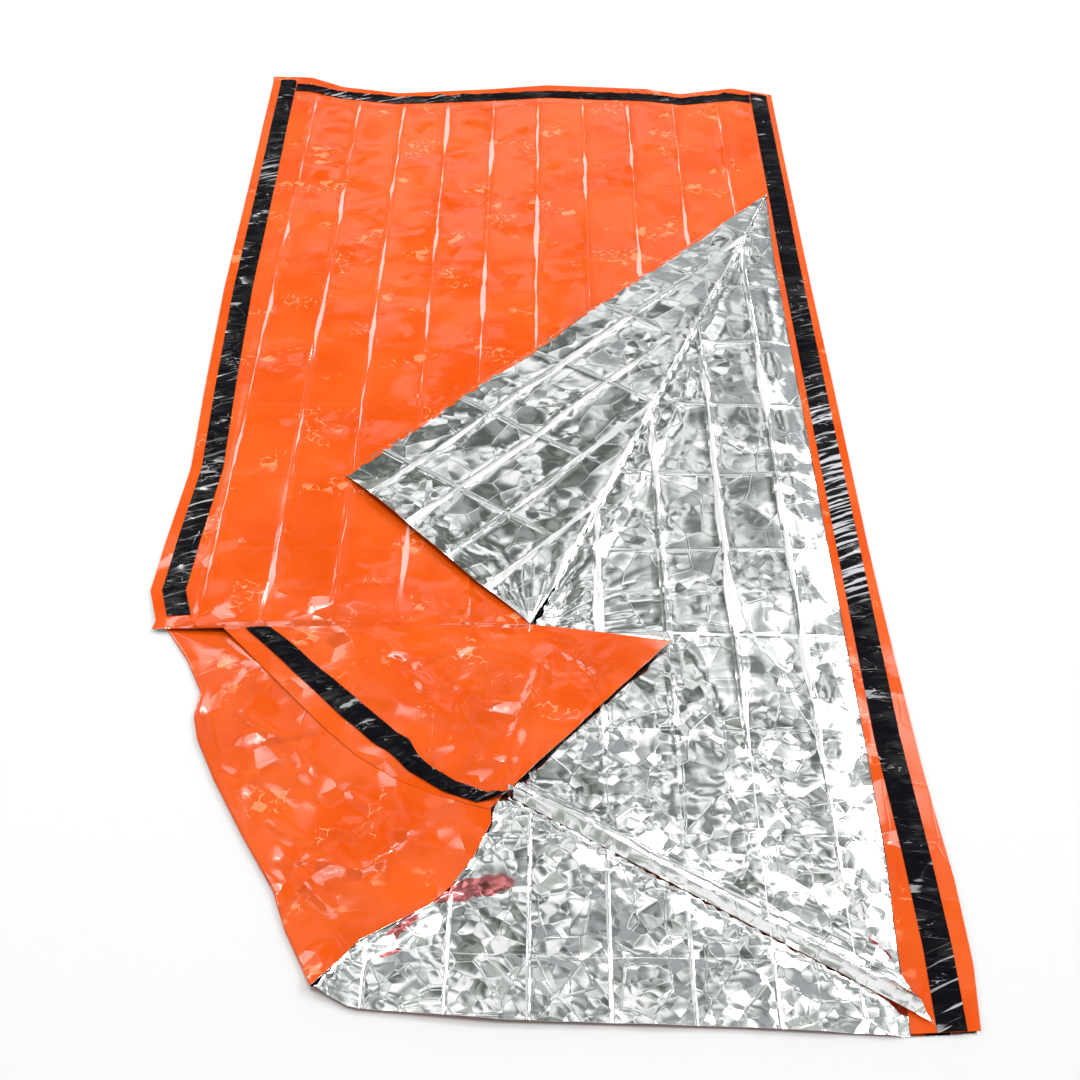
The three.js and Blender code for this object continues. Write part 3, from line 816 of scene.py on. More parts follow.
# %% The fold and the flap
FLAP_CREASE = {"panel": 2.6, "large": 2.2, "small": 0.8, "ridge": 2.6, "crosswise": 0.5}
FLAP_LIFT = 1.5
PULL_ON_FLAP = ((390, 1620), (245, 1240), (165, 1010), (112, 870), (52, 741), (0, 655))
PULL_HEIGHT = 5.0
PULL_HALF = 15.0
LIP_HEIGHT = 5.0  # of the flap's mouth edge, which stands up a little
LIP_FROM = 120.0  # past the fold
SETTLES_OVER = 70.0  # the flap comes down from its fold


def flap_height(x, y, u, v, past_fold):
    """Height of the flap at x, y, which is the pattern's u, v."""
    level = field_level(x, np.maximum(y, FLAP_FOOT[1])) + FLAP_RISE
    level = level + crumple(u, v, **FLAP_CREASE) + FLAP_LIFT
    level = level + PULL_HEIGHT * pull_fold(x, y, PULL_ON_FLAP, PULL_HALF)
    near_mouth = 1 - ease((v - FLAP_FOOT[1]) / (2 * PLEAT))
    return level + LIP_HEIGHT * near_mouth * ease(past_fold / LIP_FROM)


def front_flap(sheet, field):
    """The half-round fold and the flap, for the rows up to where the fold begins."""
    flat = FIELD_Y > FLAP_TOP[1]
    start_x, start_y, start_z = (values[:, -1] for values in field)
    ends = np.minimum(FIELD_Y - FLAP_FOOT[1], FLAP_TOP[1] - FIELD_Y) / (2 * PLEAT)
    radius = np.where(flat, 0, mix(TIP_RADIUS, FLAP_RADIUS, np.clip(ends, 0, 1)))
    fold = direction_of(FLAP_FOOT, FLAP_TOP)
    bent = bend(start_x, start_y, start_z, (fold[1], -fold[0]), radius, 1)
    first = (start_x + math.pi * radius)[:, None]
    limit = np.where(flat[:, None], first, np.maximum(flap_limit(FIELD_Y)[:, None], first))
    u = np.clip(body_columns(FIELD_Y, strip_inner(FIELD_Y)), first, limit)
    v = repeat_rows(FIELD_Y, u.shape[1])
    x, y = mirror(u, v, FLAP_FOOT, FLAP_TOP)
    settled = ease((u - first) / SETTLES_OVER)
    z = mix(bent[2][:, -1:], flap_height(x, y, u, v, u - first), settled)
    at_fold = (u <= first + 1) | flat[:, None]
    rest = [np.where(at_fold, edge[:, -1:], own) for edge, own in zip(bent, (x, y, z))]
    block = side_by_side(bent, rest)
    bent_u, bent_v = (repeat_rows(values, BEND_STEPS + 1) for values in (start_x, FIELD_Y))
    sheet.patch(*block, np.hstack([bent_u, u]), np.hstack([bent_v, v]))
    return block


print("the flap's pulled fold is", PULL_HEIGHT, "mm high and", 2 * PULL_HALF, "mm wide")

# %% The strip that stays at the right seam
STRIP_INSET = 2.0  # its mouth edge lies this far in from the back sheet's
ROW_GAP = 3.0


def front_strip(sheet, flap):
    """From the mouth to the foot. Past the flap's top it is joined to the sheet there."""
    near_y = crease_steps(creases_in(0, FLAP_FOOT[1]))
    near_y = near_y[near_y < FLAP_FOOT[1] - ROW_GAP]
    y_row = np.concatenate([near_y, FIELD_Y])
    inner, taped, right = strip_inner(y_row), tape_inner(y_row), right_side(y_row)
    steps = [np.linspace(inner, taped, MARGIN_CELLS + 1)[:-1]]
    steps.append(np.linspace(taped, taped + TAPE_WIDTH, TAPE_CELLS + 1)[:-1])
    steps.append(np.linspace(taped + TAPE_WIDTH, right, MARGIN_CELLS + 1))
    x = np.concatenate(steps).T
    v = repeat_rows(y_row, x.shape[1])
    y = np.where(v < FLAP_FOOT[1], follow_mouth(x, v) + STRIP_INSET, follow_foot(x, v))
    z = SEAM_LEVEL + foot_curl(x, y) + 0 * x
    for row in np.nonzero(y_row >= FLAP_TOP[1])[0]:
        x[row, 0], y[row, 0], z[row, 0] = (values[row - len(near_y), -1] for values in flap)
    sheet.patch(x, y, z, x.copy(), v)
    return x, y, z


print("the strip leaves the flap", round(float(strip_inner(FLAP_TOP[1]))), "mm right of the middle")

# %% [markdown]
# ## The pulled-round corner
#
# The near-left corner of the bag has been pulled round by about 45 degrees, so its seam runs from
# the pleat down to the mouth, and its mouth edge runs up to the orange point. There the sheet turns
# under itself and comes out again silver side up. A ruled patch makes each half: straight lines
# from the seam to the fold, and from the fold on to the rolled ridge at the mouth.

# %% Folds pulled into the orange film round the corner
CORNER_FOLDS = [
    {"height": 2.6, "path": ((-227, 644), (-213, 602), (-195, 572))},
    {"height": 2.4, "path": ((-335, 568), (-269, 502), (-225, 444), (-195, 406))},
    {"height": -2.2, "path": ((-91, 506), (-55, 533), (-61, 455), (-88, 498))},
    {"height": 2.4, "path": ((-45, 412), (-56, 474), (-20, 447), (11, 442))},
    {"height": 2.8, "path": ((46, 512), (20, 415), (7, 346), (2, 306))},
    {"height": 2.4, "path": ((-162, 301), (-134, 278), (-163, 247))},
    {"height": 2.6, "path": ((-250, 262), (-214, 235), (-236, 201))},
    {"height": 2.2, "path": ((-236, 197), (-211, 208), (-154, 197))},
    {"height": 3.0, "path": ((-147, 193), (-98, 231), (-51, 271))},
    {"height": 2.2, "path": ((-216, 190), (-174, 143))},
    {"height": 2.4, "path": ((-299, 281), (-275, 254), (-276, 305))},
    {"height": 2.2, "path": ((-148, 554), (-112, 505), (-92, 467))},
    {"height": -2.0, "path": ((67, 555), (114, 467))},
    {"height": 2.0, "path": ((-300, 430), (-240, 380), (-215, 330))},
    {"height": -2.2, "path": ((-330, 350), (-290, 330), (-240, 300))},
    {"height": 2.0, "path": ((-30, 540), (30, 520), (60, 490))},
]
FOLD_SHARE = 1.3
FOLD_HALF = 9.0


def corner_folds(x, y):
    """Height of the pulled folds. A negative one is a valley."""
    rows = CORNER_FOLDS
    return sum(FOLD_SHARE * r["height"] * pull_fold(x, y, r["path"], FOLD_HALF) for r in rows)


print(len(CORNER_FOLDS), "folds pulled into the corner")

# %% The corner
CORNER_ROWS = 84
SEAM_DOWN = 10.5  # the corner's seam is pressed down on the part turned over below it
CORNER_CREASE = {"panel": 0.0, "large": 3.2, "small": 1.0, "ridge": 0.0}
CORNER_SWELL = 3.0
HELD = {"seam": 0.12, "fold": 0.08, "pleat": 0.1}  # shares of the corner that stay smooth
SEAM_RISES_BY = 0.3


def corner_seam(v):
    """Outer edge of the corner's seam, from the pleat (0) to the mouth (1)."""
    return np.stack([read(CORNER_SEAM, "v", v, "x"), read(CORNER_SEAM, "v", v, "y")], -1)


def corner_fold(v):
    """Its other edge, from the flap's foot to the point, where it is turned under."""
    return mix(FLAP_FOOT, POINT, np.asarray(v)[..., None])


def corner_height(x, y, u, v):
    across, along = (np.sin(math.pi * np.clip(t, 0, 1)) for t in (u, v))
    swell = CORNER_SWELL * across * along
    loose = ease(u / HELD["seam"]) * ease((1 - u) / HELD["fold"]) * ease(v / HELD["pleat"])
    level = mix(SEAM_DOWN, CORNER_LEVEL, ease(u / SEAM_RISES_BY)) - CORNER_SLOPE * v
    return level + swell + loose * (crumple(x, y, **CORNER_CREASE) + corner_folds(x, y))


def corner_point(u, v):
    """The point at share u from the seam to the fold, on the line at v."""
    plan = mix(corner_seam(v), corner_fold(v), u[..., None])
    x, y = plan[..., 0], plan[..., 1]
    return x, y, corner_height(x, y, u, v)


def front_corner(sheet, field):
    """From the mouth to the pleat, where its last row is the field's first."""
    start_u = (field[0][0] - WEB_END_X) / (FLAP_FOOT[0] - WEB_END_X)
    v = between(1, 0, CORNER_ROWS)
    u = np.clip(np.repeat(start_u[None, :], len(v), 0), 0, 1)
    block = corner_point(u, repeat_rows(v, u.shape[1]))
    x, y, z = one_after_other(block, [values[:1] for values in field])
    sheet.patch(x, y, z, x, y)
    return x, y, z


seam_length = np.linalg.norm(np.diff(corner_seam(np.linspace(0, 1, 50)), axis=0), axis=1).sum()
print("the corner's seam is", round(float(seam_length)), "mm long")

# %% The part turned under it
UNDER_COLUMNS = 62
UNDER_CREASE = {"panel": 2.2, "large": 1.8, "small": 1.0, "ridge": 1.8, "crosswise": 0.35}
UNDER_OUT = (0.144, 0.99)  # the way its half-round fold bulges
UNDER_HELD = 0.025  # share of the way that the rolled edge holds smooth
PRESSED_UNDER_CORNER = 0.8
FIRST_SHARE = 5  # the fold is full after a fifth of the way
ROLL_END = (0.35, 0.03)  # share of its height at its end, and how far that reaches
ROLLS = [  # ridges of the mouth edge, by their share of the way from the point's fold
    {"at": 0.966, "half": 0.032, "height": ROLL_HEIGHT},
    {"at": 0.915, "half": 0.020, "height": 3.0},
]


def mouth_roll(w):
    """Height of the rolled edge on the way from the point's fold, which is w = 0."""
    ridges = [np.clip(1 - np.abs(w - row["at"]) / row["half"], 0, 1) for row in ROLLS]
    height = sum(row["height"] * ridge for row, ridge in zip(ROLLS, ridges))
    return height * mix(ROLL_END[0], 1, ease((1 - w) / ROLL_END[1]))


def front_under(sheet, corner):
    """The half-round fold along the corner's mouth edge, and what comes out below it."""
    v = np.append(between(1, 0, CORNER_ROWS), 0.0)
    depth = (CORNER_LEVEL - CORNER_SLOPE * v - UNDER_LEVEL) / 2
    radius = mix(TIP_RADIUS, depth, np.clip(FIRST_SHARE * v, 0, 1))
    bent = bend(*(values[:, -1] for values in corner), UNDER_OUT, radius, -1)
    w = np.linspace(0, 1, UNDER_COLUMNS + 1)[1:]
    ends = mix(UNDER_CORNER, MOUTH_RIGHT, v[:, None])
    plan = mix(corner_fold(v)[:, None, :], ends[:, None, :], w[None, :, None])
    x, y = plan[..., 0], plan[..., 1]
    covered = 1 - ease(side_of(x, y, MOUTH_CORNER, POINT) / -20 + 0.5)
    held = (1 - PRESSED_UNDER_CORNER * covered) * ease((1 - w) / UNDER_HELD)[None, :]
    level = UNDER_LEVEL + held * crumple(x, y, **UNDER_CREASE)
    z = mix(bent[2][:, -1:], level, ease(FIRST_SHARE * w)[None, :]) + mouth_roll(w)
    x, y, z = side_by_side(bent, (x, y, z))
    sheet.patch(x, y, z, x, y)


print("the mouth edge is rolled", ROLL_HEIGHT, "mm high")

# %% [markdown]
# ## The back sheet
#
# The back sheet lies on the ground with its silver face up. Its left side is turned over along a
# slanting fold, and there the orange face shows. It is made as the front sheet is, by a half-round
# strip and a block of rows past it. Where it is covered it lies flat. Where the silver is open to
# view it keeps every crease and crumple.

# %% Where the silver inside lies open
OVER_SLANT = 0.75  # turns a distance along y into one across the turned-over side's mouth edge
BELOW_MOUTH = 340.0
SEAM_GAP = 4.0
REACHES_UNDER = {"fold": -0.5, "pleat": 3, "ridge": 8, "over": 15}  # open this far under an edge
OPENS_OVER = {"fold": 6, "mouth": 10, "seam": 24}
NEVER_COVERED = 900.0  # stands for the edge where there is none


def over_edge(x):
    """The turned-over side's mouth edge, without its last point, which is tucked in."""
    edge_x, edge_y = OVER_MOUTH["x"][:-1], OVER_MOUTH["y"][:-1]
    return np.interp(x, edge_x, edge_y, right=NEVER_COVERED)


def uncovered(x, y):
    """1 where the silver inside of the back sheet lies open, 0 under the other layers."""
    mouth_edge = -side_of(x, y, MOUTH_RIGHT, POINT)
    down = ease((POINT[1] - y) / OPENS_OVER["mouth"])
    right_of = mix(x - fold_x(np.maximum(y, FLAP_FOOT[1])), mouth_edge, down)
    above_pleat = side_of(x, y, FLAP_FOOT, POINT) + REACHES_UNDER["pleat"]
    right_of = np.where(x < POINT[0], np.minimum(right_of, above_pleat), right_of)
    beside = ease((right_of + REACHES_UNDER["fold"]) / OPENS_OVER["fold"])
    below = REACHES_UNDER["ridge"] - side_of(x, y, UNDER_CORNER, MOUTH_RIGHT)
    left = OVER_SLANT * (over_edge(x) - y) + REACHES_UNDER["over"]
    below, left = (ease(reach / OPENS_OVER["mouth"]) for reach in (below, left))
    low = below * left * (y < BELOW_MOUTH)
    seam = ease((strip_inner(y) - SEAM_GAP - x) / OPENS_OVER["seam"])
    return np.maximum(beside, low) * seam


print("open at the flap's fold:", float(uncovered(np.array(400.0), np.array(900.0))))

# %% Ridges where it is pushed up against what covers it
INSIDE_CREASE = {"panel": 2.2, "large": 1.8, "small": 0.8, "ridge": 2.6, "crosswise": 0.35}
INSIDE_LIFT = 4.2
PULL_BESIDE = ((315, 1330), (223, 1028), (157, 855), (99, 695), (77, 576))
PULL_BESIDE_HEIGHT = 5.0
PULL_BESIDE_HALF = 14.0
PUSHED_UP = (5.0, 7.0)  # beside the flap's fold everywhere, and more at its foot
PUSHED_MORE_OVER = 1.2 * PLEAT
PUSHED_CREST = 9
PUSHED_WIDTH = 11
PUSHED_BEFORE = 40.0  # it starts this far before the flap's foot
PUSHED_FADES = 300.0  # towards the flap's top
CURLS_FROM = -10.0
CURL_AT_FOOT = 0.5  # of the front sheet's
CURLS = {
    "ridge": {"height": 4.5, "crest": 8, "width": 10, "room": 5.5, "room_slope": 0.8},
    "over": {"height": 5.5, "crest": 9, "width": 9, "room": 4.6, "room_slope": 0.9},
}


def bulge(apart, crest, width):
    """A soft ridge beside an edge that is `apart` away."""
    return np.exp(-(((apart - crest) / width) ** 2))


def beside_fold(x, y):
    """A soft ridge where the back sheet is pushed up against the flap's fold."""
    ends = ease((y - FLAP_FOOT[1] + PUSHED_BEFORE) / PUSHED_BEFORE)
    ends = ends * ease((FLAP_TOP[1] - y) / PUSHED_FADES)
    pulled = PULL_BESIDE_HEIGHT * pull_fold(x, y, PULL_BESIDE, PULL_BESIDE_HALF)
    at_foot = 1 - ease((y - FLAP_FOOT[1]) / PUSHED_MORE_OVER)
    lifted = PUSHED_UP[0] + PUSHED_UP[1] * at_foot
    return lifted * ends * bulge(x - fold_x(y), PUSHED_CREST, PUSHED_WIDTH) + pulled


def curl_up(bumps, apart, height, crest, width, room, room_slope):
    """Bumps curled up beside an edge, and kept in the room that there is under the layer above."""
    room_for = room + room_slope * np.maximum(apart, 0)
    return np.minimum(bumps + height * bulge(apart, crest, width), room_for)


def back_height(x, y):
    bumps = crumple(x, y, **INSIDE_CREASE) + INSIDE_LIFT
    bumps = bumps + beside_fold(x, y)
    below = -side_of(x, y, UNDER_CORNER, MOUTH_RIGHT)
    bumps = np.where(below > CURLS_FROM, curl_up(bumps, below, **CURLS["ridge"]), bumps)
    beside = OVER_SLANT * (over_edge(x) - y)
    at_over = (x < OVER_MOUTH["x"][-2]) & (y < OVER_MOUTH["y"][-2])
    bumps = np.where(at_over, curl_up(bumps, beside, **CURLS["over"]), bumps)
    bumps = np.maximum(bumps, 0) * uncovered(x, y)
    return BACK_LEVEL + bumps + CURL_AT_FOOT * foot_curl(x, y)


print("there is room for", min(row["room"] for row in CURLS.values()), "mm under the layers above")

# %% The part that lies on the ground
BACK_INSET = 1.0  # it lies this much inside the front sheet's edge
FOLD_ROUNDS = 8
MIDDLE_Y = 1000.0  # rows before it follow the mouth, and the others the foot


def over_fold_x(y_row):
    """Where each row meets the slanting fold, found by reading the fold again and again."""
    x = np.full(len(y_row), MOUTH["x"][1], float)
    for _ in range(FOLD_ROUNDS):
        x = read(OVER_FOLD, "y", follow_mouth(x, y_row), "x")
    return x


def back_body(sheet):
    """From its left side, or from the slanting fold, to the right seam."""
    right = right_side(BACK_Y) - BACK_INSET
    x = body_columns(BACK_Y, strip_inner(BACK_Y) - SEAM_GAP)
    taped = tape_inner(BACK_Y)
    thirds = [taped + share * TAPE_WIDTH / 3 for share in range(4)]
    x = np.hstack([x, np.stack([*thirds, right], -1)])
    left = left_side(BACK_Y) + BACK_INSET
    x = np.maximum(x, np.where(BACK_Y < OVER_END, over_fold_x(BACK_Y), left)[:, None])
    v = repeat_rows(BACK_Y, x.shape[1])
    y = np.where(v < MIDDLE_Y, follow_mouth(x, v), follow_foot(x, v))
    z = back_height(x, y)
    sheet.patch(x, y, z, x.copy(), v)
    return x, y, z


print("the slanting fold starts at x =", round(float(over_fold_x(np.zeros(1))[0])), "mm")

# %% The part that is turned over
OVER_CREASE = {"panel": 0.0, "large": 3.0, "small": 0.9, "ridge": 0.0}
OVER_LIFT = 1.5
OVER_COLUMNS = 64
OVER_TUCK = np.array((14.0, 19.0))  # how far it reaches in under the corner
OVER_OUT = (-0.925, -0.379)  # the way its half-round fold bulges
OVER_FADES = 260.0  # from here on the mouth edge no longer shapes the rows
OVER_EDGE_TO = 70.0  # from the mouth, up to where its edge is held at its level
OVER_EDGE_HELD = 0.92
UNDER_SEAM = 2.5  # it lies this far below the corner's seam
SINKS_FROM = 0.7  # share of the way to the seam
SINKS_BY = 0.2
HELD_AT_FOLD = {"all along": 0.15, "mouth edge": 0.1}
OVER_FADE_POWER = 1.5


def back_over(sheet, body):
    """The half-round fold and the orange side past it, for the rows up to its upper end."""
    folded = np.nonzero(BACK_Y < OVER_END)[0]
    y_row = BACK_Y[folded]
    start_x, start_y, start_z = (values[folded, 0] for values in body)
    ends = np.clip((OVER_END - start_y) / (2 * PLEAT), 0, 1)
    bent = bend(start_x, start_y, start_z, OVER_OUT, mix(TIP_RADIUS, OVER_RADIUS, ends), 1)
    w = np.linspace(0, 1, OVER_COLUMNS + 1)[1:]
    start = np.stack([start_x, start_y], -1)
    end = corner_seam(1 - y_row / OVER_END) + OVER_TUCK
    plan = mix(start[:, None], end[:, None], w[None, :, None])
    x, y = plan[..., 0], plan[..., 1]
    fade = np.clip(1 - y_row / OVER_FADES, 0, 1)[:, None] ** OVER_FADE_POWER
    x = x + fade * (read(OVER_MOUTH, "w", w, "x") - x[0])
    y = y + fade * (read(OVER_MOUTH, "w", w, "y") - y[0])
    over = bent[2][:, -1:]
    loose = ease(w / HELD_AT_FOLD["all along"])[None, :] * ends[:, None]
    z = over + loose * (crumple(x, y, **OVER_CREASE) + corner_folds(x, y) + OVER_LIFT)
    sunk = mix(over, SEAM_DOWN - UNDER_SEAM, ends[:, None])
    z = mix(z, sunk, ease((w - SINKS_FROM) / SINKS_BY))
    mouth = ease(1 - y_row / OVER_EDGE_TO)[:, None] * ease(w / HELD_AT_FOLD["mouth edge"])[None, :]
    z = mix(z, OVER_EDGE_LEVEL, OVER_EDGE_HELD * mouth)
    block = [values[:, ::-1] for values in side_by_side(bent, (x, y, z))]
    reach = np.linalg.norm(end - start, axis=-1)[:, None] * w[None, :]
    u = start_x[:, None] - np.hstack([0 * bent[0], reach])[:, ::-1]
    v = repeat_rows(y_row, u.shape[1])
    closing = [np.full((1, u.shape[1]), values[folded[-1] + 1, 0]) for values in body]
    block = one_after_other(block, closing)
    sheet.patch(*block, np.vstack([u, u[-1:]]), np.vstack([v, v[-1:] + 5]))


print(np.count_nonzero(BACK_Y < OVER_END), "rows are turned over")

# %% [markdown]
# ## The tape
#
# The seam tape is a 30 mm strip stuck over the joined edges. It follows the sheet under it, puckers
# crosswise because it was pulled on under tension, and its edges are sharp. It could be a band of
# black on the sheet, but then it would have no edge of its own. So it is a strip made from the
# seam's own points, a little above them, with the puckers added.

# %% Tape maker
TAPE_RISE = 0.6
PUCKERS = 7
PUCKER_PERIODS = (17, 60)
PUCKER_SLANT = 0.6
PUCKER_SHARPNESS = 3
PUCKER_AT_EDGE = 0.15  # share of its height


def pucker(along, across, height, seed):
    """Crosswise wrinkles of a stuck-on tape, along and across in millimetres."""
    own = np.random.default_rng(seed)
    wrinkles = np.zeros(np.broadcast(along, across).shape)
    for _ in range(PUCKERS):
        period = own.uniform(*PUCKER_PERIODS)
        slant = own.uniform(-PUCKER_SLANT, PUCKER_SLANT)
        phase = own.uniform(0, 2 * math.pi)
        wave = np.sin(2 * math.pi * (along + slant * across) / period + phase)
        wrinkles = wrinkles + np.maximum(wave, 0) ** PUCKER_SHARPNESS
    middle = np.ptp(across) / 2 + np.min(across)
    inside = 1 - (np.abs(across - middle) / (TAPE_WIDTH / 2)).clip(0, 1) ** 2
    return height * wrinkles / 3 * mix(PUCKER_AT_EDGE, 1, inside)


def tape_piece(name, x, y, z, along, across):
    sheet = Sheet()
    sheet.patch(x, y, z + TAPE_RISE, across, along)
    return sheet.build(name, black_tape, black_tape)


print("tape lies", TAPE_RISE, "mm above the film")

# %% [markdown]
# ## Effects that finishes share
#
# Three effects are used by more than one finish, so each is made once as a node group. The first
# tilts the surface in flat facets: each cell of a Voronoi pattern gets one random slope and a
# slight crown, in two sizes on top of each other. Every film and the tape have it. The second draws
# the packing creases as thin lines, for both faces of the film; on the orange face they are partly
# a painted highlight. The third paints glints on small crinkles, on the orange face and on the
# tape.
# All work in the flat pattern's own metres, so they turn over with the film.

# %% Node groups
def new_group(name, inputs, outputs):
    """An input without a value is a vector, and the others are numbers."""
    group = bpy.data.node_groups.new(name, "ShaderNodeTree")
    for label, value in inputs.items():
        kind = "NodeSocketVector" if value is None else "NodeSocketFloat"
        socket = group.interface.new_socket(label, in_out="INPUT", socket_type=kind)
        if value is not None:
            socket.default_value = value
    for label, kind in outputs.items():
        group.interface.new_socket(label, in_out="OUTPUT", socket_type=kind)
    tree = Tree(group)
    given = tree.add("NodeGroupInput").outputs
    return group, tree, given, tree.add("NodeGroupOutput").inputs


def place_group(tree, group, **values):
    """Puts a group into a material with its own values, and gives the group's output."""
    node = tree.add("ShaderNodeGroup", node_tree=group)
    for name, value in values.items():
        tree.put(node.inputs[name.replace("_", " ")], value)
    return node.outputs[0]


# %% Group: facets of crumpled film
FACET_INPUTS = {
    "Pattern": None,
    "Facet Size": 0.05,
    "Slope": 0.2,
    "Edge Height": 0.001,
    "Fine Size": 0.015,
    "Fine Slope": 0.2,
    "Fine Share": 0.5,
    "Softness": 0.05,
    "Fine Softness": 0.05,
    "Fine Crown": 0.35,
}
FACET_LENGTHEN = (1, 0.7, 1)
FACET_CROWN = 0.25
FACET_FOLD = 0.035  # width of the fold between two facets, in facets
FINE_FOLD = 0.06
FINE_FOLD_HEIGHT = 0.3
FINE_FADE = 0.15


def facet_slope(tree, place_on, slope, softness, crown):
    """A slope in x and y, nearly constant in each cell, and the distance to the cell's edge."""
    bent = tree.wavered(place_on, scale=0.9, detail=1.0, reach=0.25)
    cells = tree.cells(bent, "SMOOTH_F1")
    tree.put(cells.inputs["Smoothness"], softness)
    tilt = tree.vector("SUBTRACT", cells.outputs["Color"], (0.5, 0.5, 0.5))
    offset = tree.vector("SUBTRACT", bent, cells.outputs["Position"])
    both = tree.vector("ADD", tilt, tree.vector("SCALE", offset, scale=crown))
    flat = tree.vector("MULTIPLY", both, (1, 1, 0))
    edge = tree.cells(bent, "DISTANCE_TO_EDGE").outputs["Distance"]
    return tree.vector("SCALE", flat, scale=slope), edge


def make_facets_group():
    outputs = {"Normal": "NodeSocketVector"}
    group, tree, given, out = new_group("film facets", FACET_INPUTS, outputs)
    pattern = given["Pattern"]
    large_on = tree.vector("DIVIDE", pattern, given["Facet Size"])
    large_on = tree.vector("MULTIPLY", large_on, FACET_LENGTHEN)
    large, edge = facet_slope(tree, large_on, given["Slope"], given["Softness"], FACET_CROWN)
    fine_on = tree.vector("DIVIDE", pattern, given["Fine Size"])
    fine_look = (given["Fine Slope"], given["Fine Softness"], given["Fine Crown"])
    fine, fine_edge = facet_slope(tree, fine_on, *fine_look)
    high = tree.math("SUBTRACT", 1.0, given["Fine Share"])
    low = tree.math("SUBTRACT", high, FINE_FADE)
    share = tree.spread(tree.noise(pattern, scale=11.0, detail=1.0)["Fac"], low, high)
    fine = tree.vector("SCALE", fine, scale=share)
    surface = tree.add("ShaderNodeNewGeometry").outputs["Normal"]
    tilted = tree.vector("ADD", surface, tree.vector("ADD", large, fine))
    tilted = tree.vector("NORMALIZE", tilted)
    fold = tree.spread(edge, 0.0, FACET_FOLD, 1.0, 0.0)
    fine_fold = tree.product(tree.spread(fine_edge, 0.0, FINE_FOLD, 1.0, 0.0), share)
    height = tree.math("MULTIPLY_ADD", fine_fold, FINE_FOLD_HEIGHT, fold)
    bump = {"Height": height, "Distance": given["Edge Height"], "Normal": tilted}
    tree.put(out["Normal"], tree.add("ShaderNodeBump", bump).outputs["Normal"])
    return group


facets_group = make_facets_group()
print(facets_group.name, "has", len(facets_group.nodes), "nodes")


# %% Group: lines of the packing creases
def distance_to_lines(tree, value, first, pitch):
    """Distance from a value to the nearest of evenly spaced lines."""
    turns = tree.math("DIVIDE", tree.math("SUBTRACT", value, first), pitch)
    apart = tree.math("ABSOLUTE", tree.math("SUBTRACT", turns, tree.math("ROUND", turns)))
    return tree.math("MULTIPLY", apart, pitch)


def make_creases_group():
    inputs = {"Pattern": None, "Width": 0.003, "Crosswise": 0.5}
    outputs = {"Line": "NodeSocketFloat"}
    group, tree, given, out = new_group("packing creases", inputs, outputs)
    wavy = tree.parts(tree.wavered(given["Pattern"], scale=9.0, detail=2.0, reach=0.008))
    along = distance_to_lines(tree, wavy["X"], CREASE_X[0] * MM, PANEL * MM)
    across = distance_to_lines(tree, wavy["Y"], CREASE_Y[0] * MM, 2 * PLEAT * MM)
    drawn_out = tree.vector("MULTIPLY", given["Pattern"], (13.0, 5.0, 1.0))
    swell = tree.spread(tree.noise(drawn_out, scale=1.0, detail=5.0)["Fac"], 0.44, 0.68, 0.02, 1.7)
    width = tree.product(given["Width"], swell)
    along = tree.spread(tree.math("DIVIDE", along, width), 0.7, 1.1, 1.0, 0.0)
    across = tree.spread(tree.math("DIVIDE", across, given["Width"]), 0.2, 0.6, 1.0, 0.0)
    across = tree.product(across, given["Crosswise"])
    tree.put(out["Line"], tree.math("MAXIMUM", along, across))
    return group


creases_group = make_creases_group()
print(creases_group.name, "has", len(creases_group.nodes), "nodes")

# %% Group: painted glints on small crinkles
GLINT_CELL_FROM = 0.88  # a cell takes a painted glint where its chance is above this
GLINT_CELL_SHARE = 0.65


def make_painted_glints_group():
    inputs = {"Pattern": None, "Size": 0.016, "Share": 0.4}
    outputs = {"Mask": "NodeSocketFloat"}
    group, tree, given, out = new_group("painted crinkle glints", inputs, outputs)
    pattern = given["Pattern"]
    wavy = tree.wavered(pattern, scale=45.0, detail=2.0, reach=0.016)
    scaled = tree.vector("DIVIDE", wavy, given["Size"])
    low = tree.math("SUBTRACT", 1.0, given["Share"])
    high = tree.math("ADD", low, 0.07)
    patch = tree.spread(tree.noise(pattern, scale=13.0, detail=3.0)["Fac"], low, high)
    edge = tree.cells(scaled, "DISTANCE_TO_EDGE").outputs["Distance"]
    breaks = tree.spread(tree.noise(pattern, scale=110.0, detail=1.0)["Fac"], 0.46, 0.56)
    lines = tree.product(tree.spread(edge, 0.02, 0.08, 1.0, 0.0), breaks)
    chance = tree.parts(tree.cells(scaled).outputs["Color"])["X"]
    bright = tree.product(tree.math("GREATER_THAN", chance, GLINT_CELL_FROM), GLINT_CELL_SHARE)
    # The mask marks painted glints: thin light lines along cell edges and a few whole light cells.
    tree.put(out["Mask"], tree.product(tree.math("MAXIMUM", lines, bright), patch))
    return group


painted_glints_group = make_painted_glints_group()
print(painted_glints_group.name, "has", len(painted_glints_group.nodes), "nodes")


# %% Helpers for a finish
def new_finish(name):
    finish = bpy.data.materials.new(name)
    finish.use_nodes = True
    finish.node_tree.nodes.clear()
    return finish, Tree(finish.node_tree)


def set_shader(tree, **values):
    """One Principled shader with these inputs, joined to the material's output."""
    shader = tree.add("ShaderNodeBsdfPrincipled")
    for name, value in values.items():
        tree.put(shader.inputs[name.replace("_", " ")], value)
    tree.put(tree.add("ShaderNodeOutputMaterial").inputs[0], shader.outputs[0])
    print("finish with its own", ", ".join(values).replace("_", " "))


def pattern_uv(tree):
    return tree.add("ShaderNodeUVMap", uv_map="pattern").outputs[0]
